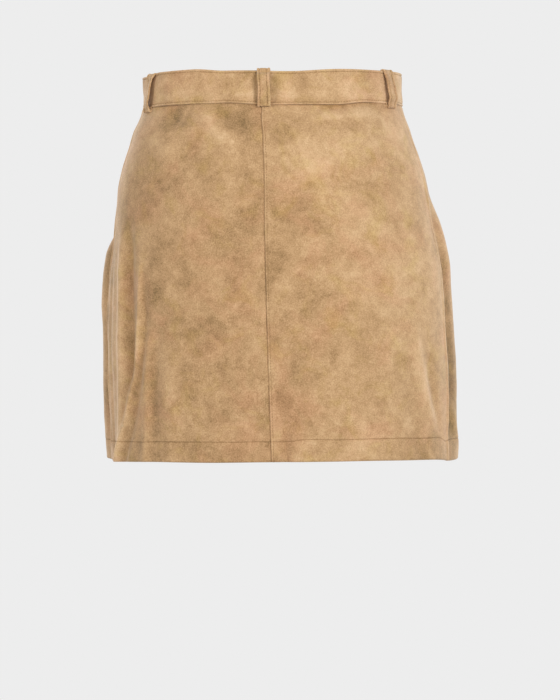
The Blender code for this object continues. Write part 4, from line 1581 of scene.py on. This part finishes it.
# a side seam has no fixed angle; towards is the side of its seam on which an allowance lies
Allowance = namedtuple("Allowance", "name angle side towards")
ALLOWANCES = (
    Allowance("centre_back_allowance", 0.0, -1, -1.0),
    Allowance("side_allowance_left", None, 1, -1.0),
    Allowance("side_allowance_right", None, -1, 1.0),
    Allowance("centre_front_allowance_left", 180.0, 1, -1.0),
    Allowance("centre_front_allowance_right", 180.0, -1, 1.0),
)


def make_seam_allowances():
    """The seams' allowances and their raw edges, on the inside of the skirt."""
    finish = finish_named("suede_allowances", suede, "suede_allowances", (0.9, 0.1, 0.5), -0.02)
    low, high = HEM_HEIGHT + HEM_TURN_UP + 0.001, BAND_BOTTOM + 0.001
    rows = np.linspace(low, high, 90)

    def out_at(angle, distance, height):
        return cloth_out(angle, distance, height) - PANEL_WALL - 0.0008

    for name, seam_angle, side, towards in ALLOWANCES:
        def distance_at(height):
            angle = sections_at(height)[SEAM_ANGLE] if seam_angle is None else seam_angle
            return round_of(angle * side, height) + towards * (SEAM_ALLOWANCE / 2 + 0.0004)

        top = SLOT_CLOSED - 0.006 if "front" in name else high
        piece = hung_path(name, rows[rows <= top + 0.0001], distance_at, out_at)
        mesh = swept(piece, SEAM_ALLOWANCE, 0.0010, 0.0003, 0.0010, finish)
        settle(mesh, 0.0, 0.6)
        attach(piece, "skirt")


# -------------------------------------------------------------------------------------------- the stage

FLOOR_RADIUS, FLOOR_HEIGHT = 3.0, -1.0
LIGHTS_AIM = (0.0, 0.0, -0.19)
WHITE = (1.0, 1.0, 1.0)
# name, place, width, power as a share of the main lamp's, colour
LIGHTS = (
    ("key_right", (-1.75, 2.00, 0.60), 0.8, 1.0, WHITE),
    ("key_left", (2.05, 1.60, 0.35), 0.8, 0.60, (1.0, 0.96, 0.90)),
    ("back_top", (-0.5, 2.6, 1.2), 1.2, 0.38, WHITE),
    ("front_key", (1.5, -2.1, 0.8), 1.0, 1.15, WHITE),
    ("front_soft", (-1.9, -1.8, 0.3), 1.2, 0.75, WHITE),
)


def add_area_light(name, place, width, energy, colour):
    """A round soft lamp aimed at the skirt."""
    light = bpy.data.lights.new(name, "AREA")
    light.shape = "DISK"
    light.size = width
    light.energy = energy
    light.color = colour
    made = linked(name, light)
    made.location = place
    made.rotation_euler = (Vector(LIGHTS_AIM) - Vector(place)).to_track_quat("-Z", "Y").to_euler()


def make_world(scene, stage):
    """An even glow all round, seen as a plain backdrop."""
    world = scene.world or bpy.data.worlds.new("studio")
    scene.world = world
    world.use_nodes = True
    tree = world.node_tree
    tree.nodes.clear()
    seen = add_node(tree, "ShaderNodeBackground", Color=(*stage.backdrop, 1.0), Strength=1.0)
    glow = add_node(tree, "ShaderNodeBackground", Color=(*WHITE, 1.0), Strength=stage.fill)
    path = add_node(tree, "ShaderNodeLightPath")
    choice = add_node(tree, "ShaderNodeMixShader", i0=path.outputs["Is Camera Ray"],
                      i1=glow.outputs[0], i2=seen.outputs[0])
    add_node(tree, "ShaderNodeOutputWorld", Surface=choice.outputs[0])


def make_camera(scene, stage):
    """The camera, level with the skirt's lower half."""
    data = bpy.data.cameras.new("camera")
    data.lens = stage.lens
    data.sensor_width = 36.0
    camera = linked("camera", data)
    back = Vector((math.sin(stage.azimuth), -math.cos(stage.azimuth), 0.0))
    right = Vector((-back.y, back.x, 0.0))
    camera.location = back * stage.distance + right * stage.aim_aside + Vector((0.0, 0.0, stage.eye_height))
    camera.rotation_euler = (math.radians(90.0), stage.roll, stage.azimuth)
    scene.camera = camera


def make_stage():
    """Backdrop, lamps, floor and camera, with plain colours."""
    scene = bpy.context.scene
    stage = scene.skirt_stage
    make_world(scene, stage)
    for name, place, width, share, colour in LIGHTS:
        add_area_light(name, place, width, stage.key * share, colour)
    bm = bmesh.new()
    bmesh.ops.create_circle(bm, cap_ends=True, radius=FLOOR_RADIUS, segments=96,
                            matrix=Matrix.Translation((0.0, 0.0, FLOOR_HEIGHT)))
    pale, _, _ = shader_tree("pale_floor", Base_Color=(*stage.floor, 1.0), Roughness=0.9)
    floor = new_object("floor", mesh_from(bm, "floor"), pale)
    make_camera(scene, stage)
    scene.view_settings.view_transform = "Standard"
    scene.view_settings.look = "None"
    scene.view_settings.exposure = 0.0
    scene.view_settings.gamma = 1.0


# ------------------------------------------------------------------------------------- add-on properties

def colour_property(name, description, default):
    """A colour of the add-on's."""
    return FloatVectorProperty(name=name, description=description, default=default, size=3, min=0.0,
                               max=1.0, subtype="COLOR")


class SkirtSizes(bpy.types.PropertyGroup):
    stitch_pitch: FloatProperty(name="Stitch pitch", description="Length from one stitch to the next",
                                default=0.0030, min=0.001, unit="LENGTH")
    stitch_length: FloatProperty(name="Stitch length", description="Length of the thread that shows",
                                 default=0.0025, min=0.0005, unit="LENGTH")
    thread_radius: FloatProperty(name="Thread radius", description="Half the thread's thickness",
                                 default=0.00028, min=0.0001, unit="LENGTH")
    sheen: FloatProperty(name="Sheen", description="How strongly the nap catches grazing light",
                         default=0.50, min=0.0, max=1.0, subtype="FACTOR")
    # lightens the right panels' colour: partly the hide's own tone, partly painted light falling from the
    # right
    right_lighter: FloatProperty(name="Right panels lighter",
                                 description="How much lighter the right panels' hide is than the left's",
                                 default=0.14, min=-1.0, max=1.0, subtype="FACTOR")


class SkirtColours(bpy.types.PropertyGroup):
    suede_dark: colour_property("Darkest suede", "Brown of the deepest patches", (0.250, 0.150, 0.062))
    suede_shade: colour_property("Shaded suede", "Brown of the darker clouds", (0.390, 0.235, 0.112))
    suede: colour_property("Suede", "Main tan of the hide", (0.480, 0.300, 0.150))
    suede_light: colour_property("Light suede", "Tan of the lighter clouds", (0.565, 0.370, 0.200))
    suede_pale: colour_property("Palest suede", "Rubbed, palest nap", (0.680, 0.480, 0.285))
    sheen_tint: colour_property("Sheen tint", "What the nap adds in grazing light", (0.92, 0.82, 0.70))
    pink_tint: colour_property("Pink tint", "Multiplied in where the hide is pinkish", (1.0, 0.915, 0.93))
    yellow_tint: colour_property("Yellow tint", "Multiplied in where the hide is yellowish",
                                 (0.94, 0.96, 0.78))
    suede_inside: colour_property("Inside", "The hide's smoother inner side", (0.430, 0.290, 0.175))
    thread: colour_property("Thread", "Sewing thread", (0.225, 0.124, 0.045))
    thread_light: colour_property("Thread highlights", "Lighter strands of the thread",
                                  (0.380, 0.226, 0.096))
    tape: colour_property("Zip tape", "Woven tape", (0.300, 0.180, 0.095))
    tape_dark: colour_property("Zip tape, dark", "The weave's hollows", (0.150, 0.085, 0.045))
    brass: colour_property("Brass", "Rubbed brass", (0.640, 0.470, 0.220))
    brass_dark: colour_property("Tarnished brass", "Browned brass", (0.330, 0.215, 0.095))


class SkirtStage(bpy.types.PropertyGroup):
    backdrop: colour_property("Backdrop", "Pale grey behind the skirt", (0.847, 0.847, 0.847))
    floor: colour_property("Floor", "Pale floor", (0.58, 0.58, 0.58))
    fill: FloatProperty(name="Fill light", description="Even light from all round", default=0.40, min=0.0)
    key: FloatProperty(name="Key light", description="Power of the main lamp", default=39.6, min=0.0,
                       unit="POWER")
    lens: FloatProperty(name="Lens", description="Focal length", default=172.0, min=10.0, unit="CAMERA")
    distance: FloatProperty(name="Distance", description="From the camera to the skirt's middle",
                            default=3.5, unit="LENGTH")
    azimuth: FloatProperty(name="Azimuth", description="Which way round the skirt the camera stands",
                           default=math.radians(185.3), unit="ROTATION")
    roll: FloatProperty(name="Roll", description="How far the camera is tipped sideways",
                        default=math.radians(0.65), unit="ROTATION")
    eye_height: FloatProperty(name="Eye height", description="The camera's height from the waist",
                              default=-0.270, unit="LENGTH")
    aim_aside: FloatProperty(name="Aim aside", description="How far the camera is moved sideways",
                             default=0.0047, unit="LENGTH")


# -------------------------------------------------------------------------------------- add-on operators

class SKIRT_OT_panels(bpy.types.Operator):
    """Lay the two back and two front suede panels on the form"""

    bl_idname = "skirt.panels"
    bl_label = "Suede Panels"

    def execute(self, context):
        for panel in PANELS:
            make_panel(panel)
        return {"FINISHED"}


class SKIRT_OT_waistband(bpy.types.Operator):
    """Sweep the lapped waistband round the waist"""

    bl_idname = "skirt.waistband"
    bl_label = "Waistband"

    def execute(self, context):
        make_waistband()
        return {"FINISHED"}


class SKIRT_OT_belt_loops(bpy.types.Operator):
    """Sew the five belt loops on the waistband"""

    bl_idname = "skirt.belt_loops"
    bl_label = "Belt Loops"

    def execute(self, context):
        for number, loop in enumerate(LOOPS):
            make_belt_loop(loop, 200 + 10 * number)
        return {"FINISHED"}


class SKIRT_OT_allowances(bpy.types.Operator):
    """Lay the seam allowances inside the skirt"""

    bl_idname = "skirt.allowances"
    bl_label = "Seam Allowances"

    def execute(self, context):
        make_seam_allowances()
        return {"FINISHED"}


class SKIRT_OT_stitching(bpy.types.Operator):
    """Run every row of stitches along its seam, hem, band or loop"""

    bl_idname = "skirt.stitching"
    bl_label = "Stitching"

    def execute(self, context):
        make_stitching()
        return {"FINISHED"}


class SKIRT_OT_zip(bpy.types.Operator):
    """Build the zip's tapes, teeth, slider and pull tab"""

    bl_idname = "skirt.zip"
    bl_label = "Zip"

    def execute(self, context):
        make_zip()
        return {"FINISHED"}


class SKIRT_OT_button(bpy.types.Operator):
    """Fasten the button on the lapped waistband"""

    bl_idname = "skirt.button"
    bl_label = "Button"

    def execute(self, context):
        make_button()
        return {"FINISHED"}


class SKIRT_OT_stage(bpy.types.Operator):
    """Set the floor, the soft lights and the camera"""

    bl_idname = "skirt.stage"
    bl_label = "Stage"

    def execute(self, context):
        make_stage()
        return {"FINISHED"}


class SKIRT_PT_sidebar(bpy.types.Panel):
    bl_label = "Suede Mini Skirt"
    bl_idname = "SKIRT_PT_sidebar"
    bl_space_type = "VIEW_3D"
    bl_region_type = "UI"
    bl_category = "Skirt"

    def draw(self, context):
        for group in (context.scene.skirt_sizes, context.scene.skirt_colours, context.scene.skirt_stage):
            box = self.layout.box()
            for name in group.__annotations__:
                box.prop(group, name)
        for operator in OPERATORS:
            self.layout.operator(operator.bl_idname)


OPERATORS = (SKIRT_OT_stage, SKIRT_OT_panels, SKIRT_OT_waistband, SKIRT_OT_belt_loops, SKIRT_OT_allowances,
             SKIRT_OT_stitching, SKIRT_OT_zip, SKIRT_OT_button)
CLASSES = (SkirtSizes, SkirtColours, SkirtStage, *OPERATORS, SKIRT_PT_sidebar)


def register():
    for cls in CLASSES:
        bpy.utils.register_class(cls)
    bpy.types.Scene.skirt_sizes = PointerProperty(type=SkirtSizes)
    bpy.types.Scene.skirt_colours = PointerProperty(type=SkirtColours)
    bpy.types.Scene.skirt_stage = PointerProperty(type=SkirtStage)


def unregister():
    for name in ("skirt_stage", "skirt_colours", "skirt_sizes"):
        delattr(bpy.types.Scene, name)
    for cls in reversed(CLASSES):
        bpy.utils.unregister_class(cls)


def clear_startup():
    """Removes what the startup scene holds besides the frame."""
    kept = set(frame["bodies"].values()) | set(frame["nodes"].values())
    for obj in [obj for obj in bpy.data.objects if obj not in kept]:
        bpy.data.objects.remove(obj, do_unlink=True)


def main():
    clear_startup()
    register()
    bpy.ops.skirt.stage()
    bpy.ops.skirt.panels()
    bpy.ops.skirt.waistband()
    bpy.ops.skirt.belt_loops()
    bpy.ops.skirt.allowances()
    bpy.ops.skirt.stitching()
    bpy.ops.skirt.zip()
    bpy.ops.skirt.button()


if __name__ == "__main__":
    main()
